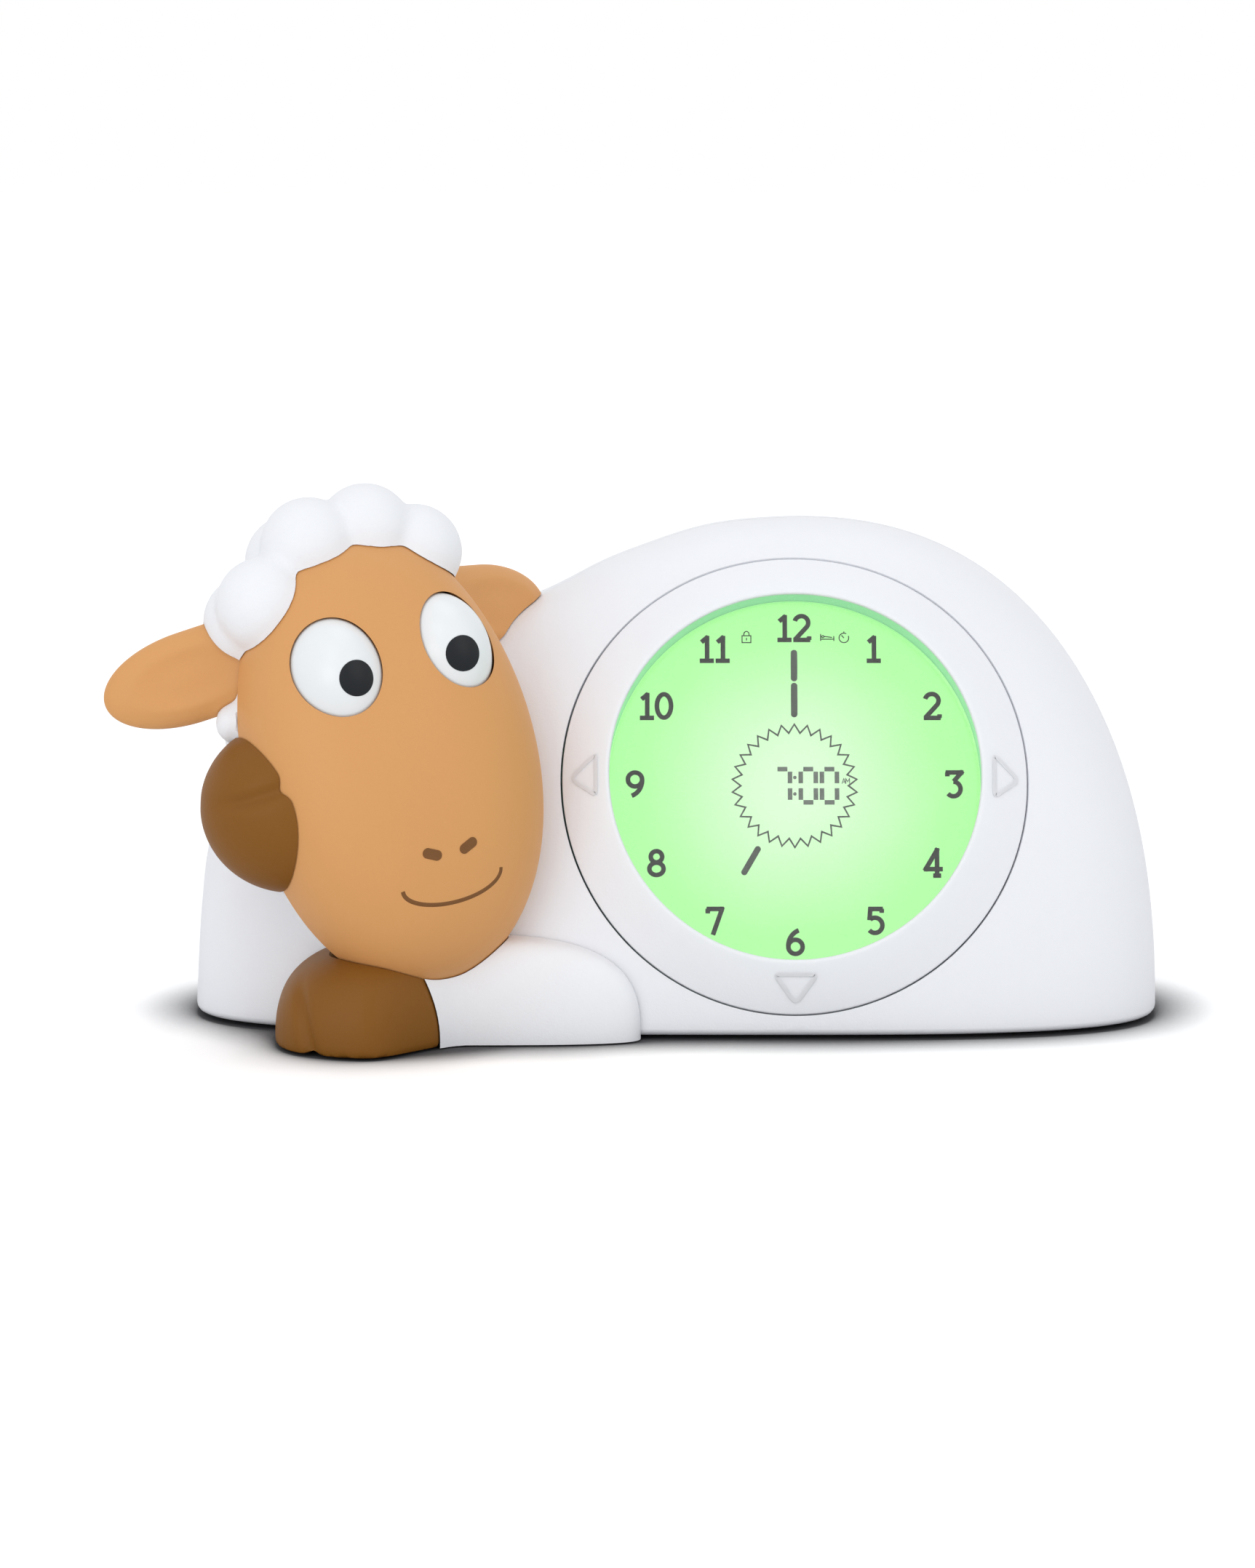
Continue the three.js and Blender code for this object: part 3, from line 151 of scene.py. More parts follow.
def spline_table(points, steps):
    """A smooth line through points, as sorted pairs that can be looked up."""
    rows = []
    last = len(points) - 1
    for i in range(steps + 1):
        place = i / steps * last
        k = min(int(place), last - 1)
        t = place - k
        row = []
        for axis in (0, 1):
            p0, p1 = points[max(k - 1, 0)][axis], points[k][axis]
            p2, p3 = points[k + 1][axis], points[min(k + 2, last)][axis]
            v0, v1 = (p2 - p0) / 2, (p3 - p1) / 2
            row.append(
                (2 * p1 - 2 * p2 + v0 + v1) * t**3 + (3 * p2 - 3 * p1 - 2 * v0 - v1) * t**2 + v0 * t + p1
            )
        rows.append(row)
    return [row[0] for row in rows], [row[1] for row in rows]


FLANK_RISE, FLANK_REACH = spline_table(FLANK_SHARES, 240)


def fade(share, power):
    """How much of its width a squared round form keeps at a share of its height."""
    return max(0.0, 1 - share**power) ** (1 / power)


def flank_share(rise):
    k = bisect.bisect_left(FLANK_RISE, rise)
    if k <= 0:
        return FLANK_REACH[0]
    if k >= len(FLANK_RISE):
        return 0.0
    a, b = FLANK_RISE[k - 1], FLANK_RISE[k]
    return max(0.0, FLANK_REACH[k - 1] + (FLANK_REACH[k] - FLANK_REACH[k - 1]) * (rise - a) / (b - a))


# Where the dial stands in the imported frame, and its three directions
U = Vector((1, 0, 0))
V = Vector((0, math.sin(DIAL_TILT), math.cos(DIAL_TILT)))
N = Vector((0, -math.cos(DIAL_TILT), math.sin(DIAL_TILT)))
lens_low, lens_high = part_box("dial_lens")
DIAL = (lens_low + lens_high) / 2 / MM - N * (LENS_BACK + LENS_FRONT) / 2
DIAL_MATRIX = Matrix((U, V, N)).transposed().to_4x4()
DIAL_MATRIX.translation = DIAL
dial_rise = (DIAL.z - DOME_START) / DOME_RISE
DOME_X = DIAL.x
DOME_Y = DIAL.y - DIAL_SINK - DOME_LEAN * dial_rise + DOME_DEEP * fade(dial_rise, DOME_POWER)
SEAM_SLOPE = DOME_LEAN / DOME_HEIGHT

# Where the head stands: the eyes' joint gives the place of the eye shaft
eye_joint = next(j for j in frame["joints"] if j["name"] == "eye_turn")
lean, roll, yaw = (math.radians(a) for a in HEAD_ANGLES)
HEAD_TURN = Matrix.Rotation(roll, 3, "Y") @ Matrix.Rotation(lean, 3, "X") @ Matrix.Rotation(yaw, 3, "Z")
HEAD_PLACE = Vector(eye_joint["pos_m"]) / MM - HEAD_TURN @ EYE_CENTRE
HEAD_MATRIX = HEAD_TURN.to_4x4()
HEAD_MATRIX.translation = HEAD_PLACE


def squared(x, y, power):
    """A point of the unit circle, moved out to a squared circle."""
    grow = (abs(x) ** power + abs(y) ** power) ** (-1 / power)
    return x * grow, y * grow


def dome_point(x, y, rise, height, grow):
    """A point of the dome's skin at a direction seen from above, a share of the rise and a height."""
    shrink = fade(rise, DOME_POWER)
    right = (DOME_RIGHT + grow) * shrink
    left = (DOME_LEFT + grow) * flank_share(rise)
    deep = (DOME_DEEP + grow) * shrink
    sx, sy = squared(x, y, PLAN_POWER)
    return Vector((DOME_X + sx * (right if sx > 0 else left), DOME_Y + DOME_LEAN * rise + sy * deep, height))


def outside_dome(point):
    rise = min(max((point.z - DOME_START) / DOME_RISE, 0.0), 1.0)
    shrink = fade(rise, DOME_POWER)
    reach = DOME_RIGHT * shrink if point.x > DOME_X else DOME_LEFT * flank_share(rise)
    if reach <= 0 or shrink <= 0:
        return True
    across = abs(point.x - DOME_X) / reach
    deep = abs(point.y - DOME_Y - DOME_LEAN * rise) / (DOME_DEEP * shrink)
    return across**PLAN_POWER + deep**PLAN_POWER > 1


def dial_skin(u, v):
    """How far the dome's skin stands along the dial's axis, at a place on the dial's plane."""
    start = DIAL + U * u + V * v
    low, high = -28.0, 14.0
    for _ in range(26):
        middle = (low + high) / 2
        if outside_dome(start + N * middle):
            high = middle
        else:
            low = middle
    return (low + high) / 2


def on_ring(point):
    """A point of the flat ring, laid on its raised and slightly uneven front."""
    out = (math.hypot(point.x, point.y) - RING_BORE) / RING_WIDTH
    inward = 1 - min(max(out, 0), 1)
    u, v = point.x, point.y + MOUTH_RISE * inward
    return Vector((u, v, point.z + dial_skin(u, v) + mm(sizes().ring_crest) * inward))


def egg_point(x, y, rise, grow):
    """A point of the skull's skin, in the head's frame."""
    shrink = math.sqrt(max(0.0, 1 - rise * rise))
    wide = (SKULL_WIDE * (1 + SKULL_TAPER * rise) + grow) * shrink
    front = (SKULL_FRONT * (1 + SKULL_TAPER * rise) + grow) * shrink
    back = (SKULL_BACK + grow) * shrink
    sx, sy = squared(x, y, SKULL_POWER)
    return Vector((sx * wide, sy * (back if sy > 0 else front), (SKULL_TALL + grow) * rise))


def face_skin(x, z):
    """How deep the face's skin lies at a place on the face, in the head's frame."""
    rise = z / SKULL_TALL
    shrink = math.sqrt(max(0.0, 1 - rise * rise))
    wide = SKULL_WIDE * (1 + SKULL_TAPER * rise) * shrink
    front = SKULL_FRONT * (1 + SKULL_TAPER * rise) * shrink
    return -front * fade(min(abs(x) / wide, 1), SKULL_POWER)


# Mesh helpers


def ball(sides, levels, shape):
    """A closed round form: every point of a unit sphere, moved by shape(x, y, z)."""
    bm = bmesh.new()
    bmesh.ops.create_uvsphere(bm, u_segments=sides, v_segments=levels, radius=1)
    for vert in bm.verts:
        flat = math.hypot(vert.co.x, vert.co.y)
        if flat < 1e-6:
            vert.co = shape(1, 0, round(vert.co.z))
        else:
            vert.co = shape(vert.co.x / flat, vert.co.y / flat, vert.co.z)
    return bm


def oval(radii, centre=(0, 0, 0), sides=48, levels=32, grow=0.0):
    bm = bmesh.new()
    bmesh.ops.create_uvsphere(bm, u_segments=sides, v_segments=levels, radius=1)
    bmesh.ops.scale(bm, vec=[r + grow for r in radii], verts=bm.verts)
    bmesh.ops.translate(bm, vec=centre, verts=bm.verts)
    return bm


def rod(radius, low, high, sides=32):
    """A closed round rod along Z between two levels."""
    bm = bmesh.new()
    bmesh.ops.create_cone(
        bm, cap_ends=True, segments=sides, radius1=radius, radius2=radius, depth=high - low,
        matrix=Matrix.Translation((0, 0, (low + high) / 2)),
    )
    return bm


def block(low, high):
    bm = bmesh.new()
    size = Vector(high) - Vector(low)
    middle = (Vector(high) + Vector(low)) / 2
    bmesh.ops.create_cube(bm, size=1, matrix=Matrix.Translation(middle) @ Matrix.Diagonal((*size, 1)))
    return bm


def spun(profile, sides, closed=False):
    """A turned form about Z from (radius, level) pairs. A closed profile ends where it starts."""
    bm = bmesh.new()
    verts = [bm.verts.new((radius, 0, level)) for radius, level in profile]
    pairs = list(zip(verts, verts[1:])) + ([(verts[-1], verts[0])] if closed else [])
    edges = [bm.edges.new(pair) for pair in pairs]
    bmesh.ops.spin(
        bm, geom=verts + edges, cent=(0, 0, 0), axis=(0, 0, 1), angle=TURN, steps=sides, use_merge=True
    )
    bmesh.ops.remove_doubles(bm, verts=bm.verts, dist=1e-4)
    bmesh.ops.recalc_face_normals(bm, faces=bm.faces)
    return bm


def moved(bm, matrix):
    bmesh.ops.transform(bm, matrix=matrix, verts=bm.verts)
    return bm


def along_y(bm):
    return moved(bm, Matrix.Rotation(-QUARTER, 4, "X"))


def joined(forms):
    """All the forms in one mesh, which uses them up."""
    bm = bmesh.new()
    for form in forms:
        mesh = bpy.data.meshes.new("part")
        form.to_mesh(mesh)
        form.free()
        bm.from_mesh(mesh)
        bpy.data.meshes.remove(mesh)
    return bm


def helper(bm):
    """A short-lived object that carries modifiers."""
    mesh = bpy.data.meshes.new("helper")
    bm.to_mesh(mesh)
    bm.free()
    made = bpy.data.objects.new("helper", mesh)
    bpy.context.scene.collection.objects.link(made)
    return made


def settled(made, *tools):
    """The bmesh of a helper with its modifiers applied. The helper and the tools go."""
    bpy.context.view_layer.update()
    graph = bpy.context.evaluated_depsgraph_get()
    bm = bmesh.new()
    bm.from_object(made, graph)
    for each in (made, *tools):
        mesh = each.data
        bpy.data.objects.remove(each)
        bpy.data.meshes.remove(mesh)
    return bm


def cut(bm, *cutters, operation="DIFFERENCE"):
    """The form without what each cutter holds, or only what it holds."""
    made = helper(bm)
    tools = [helper(cutter) for cutter in cutters]
    for tool in tools:
        modifier = made.modifiers.new("cut", "BOOLEAN")
        modifier.operation = operation
        modifier.solver = "EXACT"
        modifier.object = tool
    return settled(made, *tools)


def kept(bm, cutter):
    return cut(bm, cutter, operation="INTERSECT")


def remeshed(bm, voxel, rounds):
    """One closed skin over all the forms in the mesh, then smoothed."""
    made = helper(bm)
    modifier = made.modifiers.new("skin", "REMESH")
    modifier.mode = "VOXEL"
    modifier.voxel_size = voxel
    bm = settled(made)
    for _ in range(rounds):
        bmesh.ops.smooth_vert(
            bm, verts=bm.verts, factor=0.5, use_axis_x=True, use_axis_y=True, use_axis_z=True
        )
    return bm


def walled(bm, thickness, side=-1.0):
    """An open skin given a wall towards its inside."""
    bmesh.ops.recalc_face_normals(bm, faces=bm.faces)
    made = helper(bm)
    modifier = made.modifiers.new("wall", "SOLIDIFY")
    modifier.thickness = thickness
    modifier.offset = side
    return settled(made)


def sliced(bm, point, normal):
    """What lies behind a plane, with the cut left open."""
    bmesh.ops.bisect_plane(
        bm, geom=bm.verts[:] + bm.edges[:] + bm.faces[:], plane_co=point, plane_no=normal, clear_outer=True
    )
    return bm


def main_form(bm):
    """The largest of the separate forms in the mesh."""
    left = set(bm.verts)
    groups = []
    while left:
        front = [left.pop()]
        group = set(front)
        while front:
            vert = front.pop()
            for edge in vert.link_edges:
                other = edge.other_vert(vert)
                if other in left:
                    left.discard(other)
                    group.add(other)
                    front.append(other)
        groups.append(group)
    largest = max(groups, key=len)
    bmesh.ops.delete(bm, geom=[v for v in bm.verts if v not in largest], context="VERTS")
    return bm


def piece(bm, name, body, material, slot, *nodes, sharp=35, weighted=True):
    """A finished piece in metres, smooth but for its sharp edges, riding on its body."""
    bmesh.ops.scale(bm, vec=(MM, MM, MM), verts=bm.verts)
    for face in bm.faces:
        face.smooth = True
    mesh = bpy.data.meshes.new(name)
    bm.to_mesh(mesh)
    bm.free()
    mesh.set_sharp_from_angle(angle=math.radians(sharp))
    mesh.materials.append(material)
    made = bpy.data.objects.new(name, mesh)
    bpy.context.scene.collection.objects.link(made)
    if weighted:
        modifier = made.modifiers.new("even shading", "WEIGHTED_NORMAL")
        modifier.keep_sharp = True
        bpy.context.view_layer.update()
        graph = bpy.context.evaluated_depsgraph_get()
        even = bpy.data.meshes.new_from_object(made.evaluated_get(graph))
        made.modifiers.clear()
        made.data = even
        bpy.data.meshes.remove(mesh)
        even.name = name
    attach(made, body)
    if nodes:
        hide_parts(*nodes)
    return made


# Printed lines


def arc(x, y, across, up, start, end, steps=16):
    """Points along an oval's line between two angles in degrees."""
    angles = [math.radians(start + (end - start) * i / steps) for i in range(steps + 1)]
    return [(x + across * math.cos(a), y + up * math.sin(a)) for a in angles]


# Strokes of each numeral in a box one unit tall: points, and whether the stroke closes
GLYPHS = {
    "0": [(arc(0.33, 0.5, 0.25, 0.42, 0, 346, 26), True)],
    "1": [
        ([(0.3, 0.06), (0.3, 0.97)], False), ([(0.34, 0.94), (0.1, 0.74)], False),
        ([(0.04, 0.07), (0.54, 0.07)], False)
    ],
    "2": [
        (arc(0.33, 0.69, 0.24, 0.24, 165, -38, 18) + [(0.1, 0.08)], False),
        ([(0.04, 0.07), (0.64, 0.07)], False), ([(0.6, 0.07), (0.6, 0.2)], False),
    ],
    "3": [
        ([(0.1, 0.78), (0.1, 0.93)], False), ([(0.04, 0.92), (0.6, 0.92), (0.32, 0.6)], False),
        (arc(0.31, 0.33, 0.25, 0.26, 90, -140, 20), False),
    ],
    "4": [
        ([(0.46, 0.0), (0.46, 0.96), (0.06, 0.28), (0.66, 0.28)], False), ([(0.32, 0.05), (0.6, 0.05)], False)
    ],
    "5": [
        ([(0.56, 0.78), (0.56, 0.93)], False), ([(0.6, 0.92), (0.16, 0.92), (0.13, 0.52)], False),
        (arc(0.32, 0.34, 0.26, 0.27, 130, -140, 20), False),
    ],
    "6": [
        (arc(0.34, 0.33, 0.25, 0.25, 0, 346, 22), True), (arc(0.62, 0.36, 0.53, 0.58, 182, 108, 14), False)
    ],
    "7": [([(0.08, 0.76), (0.08, 0.93)], False), ([(0.04, 0.92), (0.58, 0.92), (0.26, 0.0)], False)],
    "8": [(arc(0.34, 0.72, 0.2, 0.2, 0, 346, 20), True), (arc(0.34, 0.29, 0.25, 0.22, 0, 346, 22), True)],
    "9": [(arc(0.34, 0.67, 0.25, 0.25, 0, 346, 22), True), (arc(0.06, 0.64, 0.53, 0.58, 2, -72, 14), False)],
    "A": [([(0.0, 0.0), (0.32, 0.96), (0.64, 0.0)], False), ([(0.12, 0.32), (0.52, 0.32)], False)],
    "M": [([(0.0, 0.0), (0.0, 0.96), (0.34, 0.36), (0.68, 0.96), (0.68, 0.0)], False)],
}
GLYPH_WIDTHS = {"1": 0.56}
GLYPH_WIDTH = 0.68


def straight_runs(points, closed, reach):
    """A stroke parted at its sharp corners, so that the pen keeps its width there."""
    points = [Vector(p) for p in points]
    count = len(points)
    if closed:
        steps = [(points[(i + 1) % count] - points[i]).normalized() for i in range(count)]
        corners = [i for i in range(count) if steps[i - 1].dot(steps[i]) < 0.75]
        if not corners:
            return [(points, True)]
        points = points[corners[0]:] + points[: corners[0] + 1]
    runs, run = [], [points[0]]
    for i in range(1, len(points)):
        run.append(points[i])
        if i + 1 < len(points):
            before = (points[i] - points[i - 1]).normalized()
            if before.dot((points[i + 1] - points[i]).normalized()) < 0.75:
                runs.append(run)
                run = [points[i]]
    runs.append(run)
    for k, run in enumerate(runs):
        if k or closed:
            run[0] = run[0] - (run[1] - run[0]).normalized() * reach
        if k + 1 < len(runs) or closed:
            run[-1] = run[-1] + (run[-1] - run[-2]).normalized() * reach
    return [(run, False) for run in runs]


def pen(strokes, line, thick):
    """Lines drawn flat on the XY plane, as a closed mesh that stands up by its thickness."""
    curve = bpy.data.curves.new("pen", "CURVE")
    curve.dimensions = "3D"
    curve.bevel_depth = line / 2
    curve.bevel_resolution = 2
    curve.use_fill_caps = True
    for points, closed in [run for stroke in strokes for run in straight_runs(*stroke, line * 0.42)]:
        spline = curve.splines.new("POLY")
        spline.points.add(len(points) - 1)
        for point, (x, y) in zip(spline.points, points):
            point.co = (x, y, 0, 1)
        spline.use_cyclic_u = closed
    drawn = bpy.data.objects.new("pen", curve)
    bpy.context.scene.collection.objects.link(drawn)
    bpy.context.view_layer.update()
    mesh = bpy.data.meshes.new_from_object(drawn.evaluated_get(bpy.context.evaluated_depsgraph_get()))
    bm = bmesh.new()
    bm.from_mesh(mesh)
    bpy.data.objects.remove(drawn)
    bpy.data.curves.remove(curve)
    bpy.data.meshes.remove(mesh)
    bmesh.ops.remove_doubles(bm, verts=bm.verts, dist=1e-5)
    bmesh.ops.scale(bm, vec=(1, 1, 2 * thick / line), verts=bm.verts)
    return bm


def written(text, height, line, thick):
    """Numerals drawn with the pen, centred on the origin."""
    strokes, start = [], 0.0
    for letter in text:
        for points, closed in GLYPHS[letter]:
            strokes.append(([((x + start) * height, (y - 0.5) * height) for x, y in points], closed))
        start += GLYPH_WIDTHS.get(letter, GLYPH_WIDTH)
    bm = pen(strokes, line, thick)
    return moved(bm, Matrix.Translation((-start * height / 2, 0, 0)))


def bar(x, y, long, line, upright, thick, sides=6):
    """One flat segment with pointed ends, or with round ends if it has many sides."""
    bm = bmesh.new()
    verts = bmesh.ops.create_circle(bm, cap_ends=True, segments=sides, radius=line / 2)["verts"]
    for vert in verts:
        tip = sides == 6 and abs(vert.co.y) < line * 0.1
        side = math.copysign(1, vert.co.x)
        if sides == 6:
            reach = long / 2 if tip else long / 2 - line / 2
            vert.co = (side * reach, 0 if tip else math.copysign(line / 2, vert.co.y), 0)
        elif abs(vert.co.x) > 1e-6:
            vert.co.x += side * (long - line) / 2
    made = bmesh.ops.extrude_face_region(bm, geom=bm.faces[:])["geom"]
    top = [g for g in made if isinstance(g, bmesh.types.BMVert)]
    bmesh.ops.translate(bm, vec=(0, 0, thick), verts=top)
    bmesh.ops.recalc_face_normals(bm, faces=bm.faces)
    if upright:
        moved(bm, Matrix.Rotation(QUARTER, 4, "Z"))
    return moved(bm, Matrix.Translation((x, y, 0)))


# Forms that several pieces share


def dome_skin(grow, sides, levels):
    """The dome's open skin, rounded in at its foot."""

    def shape(x, y, rise):
        rise = max(rise, 0.0)
        return dome_point(x, y, rise, DOME_START + (DOME_RISE + grow) * rise, grow)

    bm = bmesh.new()
    bmesh.ops.create_uvsphere(bm, u_segments=sides, v_segments=levels * 2, radius=1)
    bmesh.ops.delete(bm, geom=[v for v in bm.verts if v.co.z < -1e-5], context="VERTS")
    directions = {}
    for vert in bm.verts:
        flat = math.hypot(vert.co.x, vert.co.y)
        if flat < 1e-6:
            vert.co = shape(1, 0, 1)
        else:
            direction = (vert.co.x / flat, vert.co.y / flat)
            if vert.co.z < 1e-5:
                directions[vert] = direction
            vert.co = shape(*direction, vert.co.z)
    rim = [e for e in bm.edges if e.is_boundary]
    for angle in (0.4, 0.8, 1.2, QUARTER):
        made = bmesh.ops.extrude_edge_only(bm, edges=rim)["geom"]
        rim = [g for g in made if isinstance(g, bmesh.types.BMEdge)]
        lower = [g for g in made if isinstance(g, bmesh.types.BMVert)]
        below = {}
        for vert in lower:
            above = next(
                e.other_vert(vert) for e in vert.link_edges if e.other_vert(vert) in directions
            )
            below[vert] = directions[above]
        directions = below
        inset = grow - FOOT_ROUND * (1 - math.cos(angle))
        for vert, (x, y) in directions.items():
            vert.co = dome_point(x, y, 0.0, DOME_START - FOOT_ROUND * math.sin(angle), inset)
    return bm


def dome_solid(grow):
    """A closed, coarser dome that cuts its neighbours, run down past the floor."""
    bm = dome_skin(grow, 96, 32)
    rim = [e for e in bm.edges if e.is_boundary]
    made = bmesh.ops.extrude_edge_only(bm, edges=rim)["geom"]
    verts = [g for g in made if isinstance(g, bmesh.types.BMVert)]
    bmesh.ops.translate(bm, vec=(0, 0, -20), verts=verts)
    bmesh.ops.holes_fill(bm, edges=[e for e in bm.edges if e.is_boundary], sides=0)
    bmesh.ops.recalc_face_normals(bm, faces=bm.faces)
    return bm


def egg(grow, sides=96, levels=72):
    return moved(ball(sides, levels, lambda x, y, rise: egg_point(x, y, rise, grow)), HEAD_MATRIX)


def eye_room(side):
    centre = EYE_CENTRE + Vector((side * EYE_SPREAD, 0, 0))
    return moved(oval(EYE_RADII, centre, 96, 64, EYE_GAP), HEAD_MATRIX)


def seam_plane(offset):
    """A point and the backward direction of the housing's leaning seam."""
    normal = Vector((0, 1, -SEAM_SLOPE)).normalized()
    return Vector((0, DOME_Y, FOOT_DROP)) + normal * offset, normal


# Curls: rows over the skull, each an angle from the crown and places along the row, as shares of a quarter turn
CURL_RADIUS = 10.8
CURL_SINK = 1.5
CURL_ROWS = (
    (0.1, (-0.45, -0.15, 0.13, 0.36)),
    (-0.22, (-0.47, -0.16, 0.14, 0.36)),
    (-0.52, (-0.38, -0.12, 0.12, 0.32)),
    (-0.84, (-0.4, -0.1, 0.2)),
    (-1.16, (-0.28, 0.12)),
)


# One small curl shows under the left ear
TUFT_RADIUS = 4.8
TUFT_PLACE = (-30.3, 5.6, 14.6)


def curls(grow, sides=40, levels=28):
    made = []
    for tilt, spread in CURL_ROWS:
        for share in spread:
            flat = math.cos(share * QUARTER)
            forward = -flat * math.sin(tilt * QUARTER)
            deep = (SKULL_BACK if forward > 0 else SKULL_FRONT) - CURL_SINK
            across = math.sin(share * QUARTER) * (SKULL_WIDE - CURL_SINK)
            up = flat * math.cos(tilt * QUARTER) * (SKULL_TALL - CURL_SINK)
            made.append(oval((CURL_RADIUS,) * 3, (across, forward * deep, up), sides, levels, grow))
    made.append(oval((TUFT_RADIUS,) * 3, TUFT_PLACE, sides, levels, grow))
    return [moved(form, HEAD_MATRIX) for form in made]


EAR_RADII = Vector((20.2, 4.6, 10.3))
EAR_ROOT = Vector((21, 3, 28.5))
EAR_ROOT_SHARE = 0.86
EAR_ROOT_POWER = 5
EAR_SINK = 1.4
EAR_SWEEP = math.radians(26)
EAR_DROOP = math.radians(5)


def ear_matrix(side):
    place = Matrix.Translation((side * EAR_ROOT.x, EAR_ROOT.y, EAR_ROOT.z))
    return HEAD_MATRIX @ place @ Matrix.Rotation(side * EAR_SWEEP, 4, "Z") @ Matrix.Rotation(
        side * EAR_DROOP, 4, "Y"
    )


def ear_blank(side, grow, cup=0.0):
    centre = side * EAR_RADII.x * EAR_ROOT_SHARE
    bm = oval(EAR_RADII, (0, 0, 0), 96, 64, grow)
    for vert in bm.verts:
        x, y, z = vert.co
        middle = max(0.0, 1 - (x / 15) ** 2 - (z / 7) ** 2)
        if y < 0:
            y += cup * middle * middle * (3 - 2 * middle)
        inward = min(max(-side * x / (EAR_RADII.x + grow), 0.0), 0.9999)
        if inward > 0:
            fuller = (1 - inward**EAR_ROOT_POWER) ** (1 / EAR_ROOT_POWER) / max(
                math.sqrt(1 - inward**2), 1e-3
            )
            y, z = y * min(fuller, 1.5), z * min(fuller, 2.5)
        vert.co = (x + centre, y, z)
    return moved(bm, ear_matrix(side))


# Forelegs, placed from the head that rests on them
LEG_X = HEAD_PLACE.x + 16.5
LEG_Y = HEAD_PLACE.y - 5
LEG_LONG = 41.0
LEG_DEEP = 24.5
LEG_HEIGHT = 23.5
LEG_LIFT = 0.4
LEG_POWER = 3.0
# Behind the hoof the front of the foreleg draws back towards the dome
LEG_SLIM = 0.68
LEG_SLIM_FROM = -21.0
LEG_SLIM_TO = 3.0
HOOF_JOIN = -3.5
JOIN_BULGE = 35.0


def leg_mound():
    """The long rounded form that foreleg and hoof are cut from, flat below."""

    def shape(x, y, rise):
        shrink = fade(max(rise, 0.0), LEG_POWER)
        sx, sy = squared(x, y, LEG_POWER)
        level = LEG_LIFT + (LEG_HEIGHT - LEG_LIFT) * max(rise, 0.0)
        across, along = sx * LEG_LONG * shrink, sy * LEG_DEEP * shrink
        if along < 0:
            share = min(max((across - LEG_SLIM_FROM) / (LEG_SLIM_TO - LEG_SLIM_FROM), 0), 1)
            along *= 1 - LEG_SLIM * share * share * (3 - 2 * share)
        return Vector((LEG_X + across, LEG_Y + along, level))

    bm = bmesh.new()
    bmesh.ops.create_uvsphere(bm, u_segments=128, v_segments=80, radius=1)
    bmesh.ops.delete(bm, geom=[v for v in bm.verts if v.co.z < -1e-5], context="VERTS")
    for vert in bm.verts:
        flat = math.hypot(vert.co.x, vert.co.y)
        vert.co = shape(1, 0, 1) if flat < 1e-6 else shape(vert.co.x / flat, vert.co.y / flat, vert.co.z)
    bmesh.ops.holes_fill(bm, edges=[e for e in bm.edges if e.is_boundary], sides=0)
    bmesh.ops.recalc_face_normals(bm, faces=bm.faces)
    return bm


def limb_cutters():
    """What the limbs leave free: skull, wool and dome."""
    wool = remeshed(joined(curls(0.6, 24, 16)), 1.2, 1)
    return [egg(SEAT_GAP), wool, dome_solid(SEAT_GAP)]


def hoof_end(grow):
    centre = (LEG_X + HOOF_JOIN - JOIN_BULGE, LEG_Y - 6, 2)
    return oval((JOIN_BULGE,) * 3, centre, 96, 64, grow)


def groove(bm, centre, across, reach, depth, width):
    """A soft groove: points near a line from the centre are pressed in along their normals."""
    bm.normal_update()
    side = Vector(across).normalized()
    along = Vector(reach)
    length = along.length
    along.normalize()
    for vert in bm.verts:
        offset = vert.co - Vector(centre)
        out = offset.dot(side)
        place = min(max(offset.dot(along), 0), length)
        tail = (offset.dot(along) - place) / 4
        near = math.exp(-((out / width) ** 2) - tail * tail)
        vert.co -= vert.normal * depth * near
    return bm


# Materials


def node(tree, kind, **values):
    made = tree.nodes.new(kind)
    for name, value in values.items():
        if hasattr(made, name):
            setattr(made, name, value)
        else:
            made.inputs[name.replace("_", " ")].default_value = value
    return made


def link(tree, source, target):
    tree.links.new(source, target)


def group_of(name, inputs, outputs):
    """A new shader node group with named sockets, and its two end nodes."""
    tree = bpy.data.node_groups.new(name, "ShaderNodeTree")
    for label, kind, value in inputs:
        socket = tree.interface.new_socket(name=label, in_out="INPUT", socket_type=kind)
        if value is not None:
            socket.default_value = value
    for label, kind in outputs:
        tree.interface.new_socket(name=label, in_out="OUTPUT", socket_type=kind)
    return tree, tree.nodes.new("NodeGroupInput"), tree.nodes.new("NodeGroupOutput")


FLOAT = "NodeSocketFloat"
COLOUR = "NodeSocketColor"
VECTOR = "NodeSocketVector"


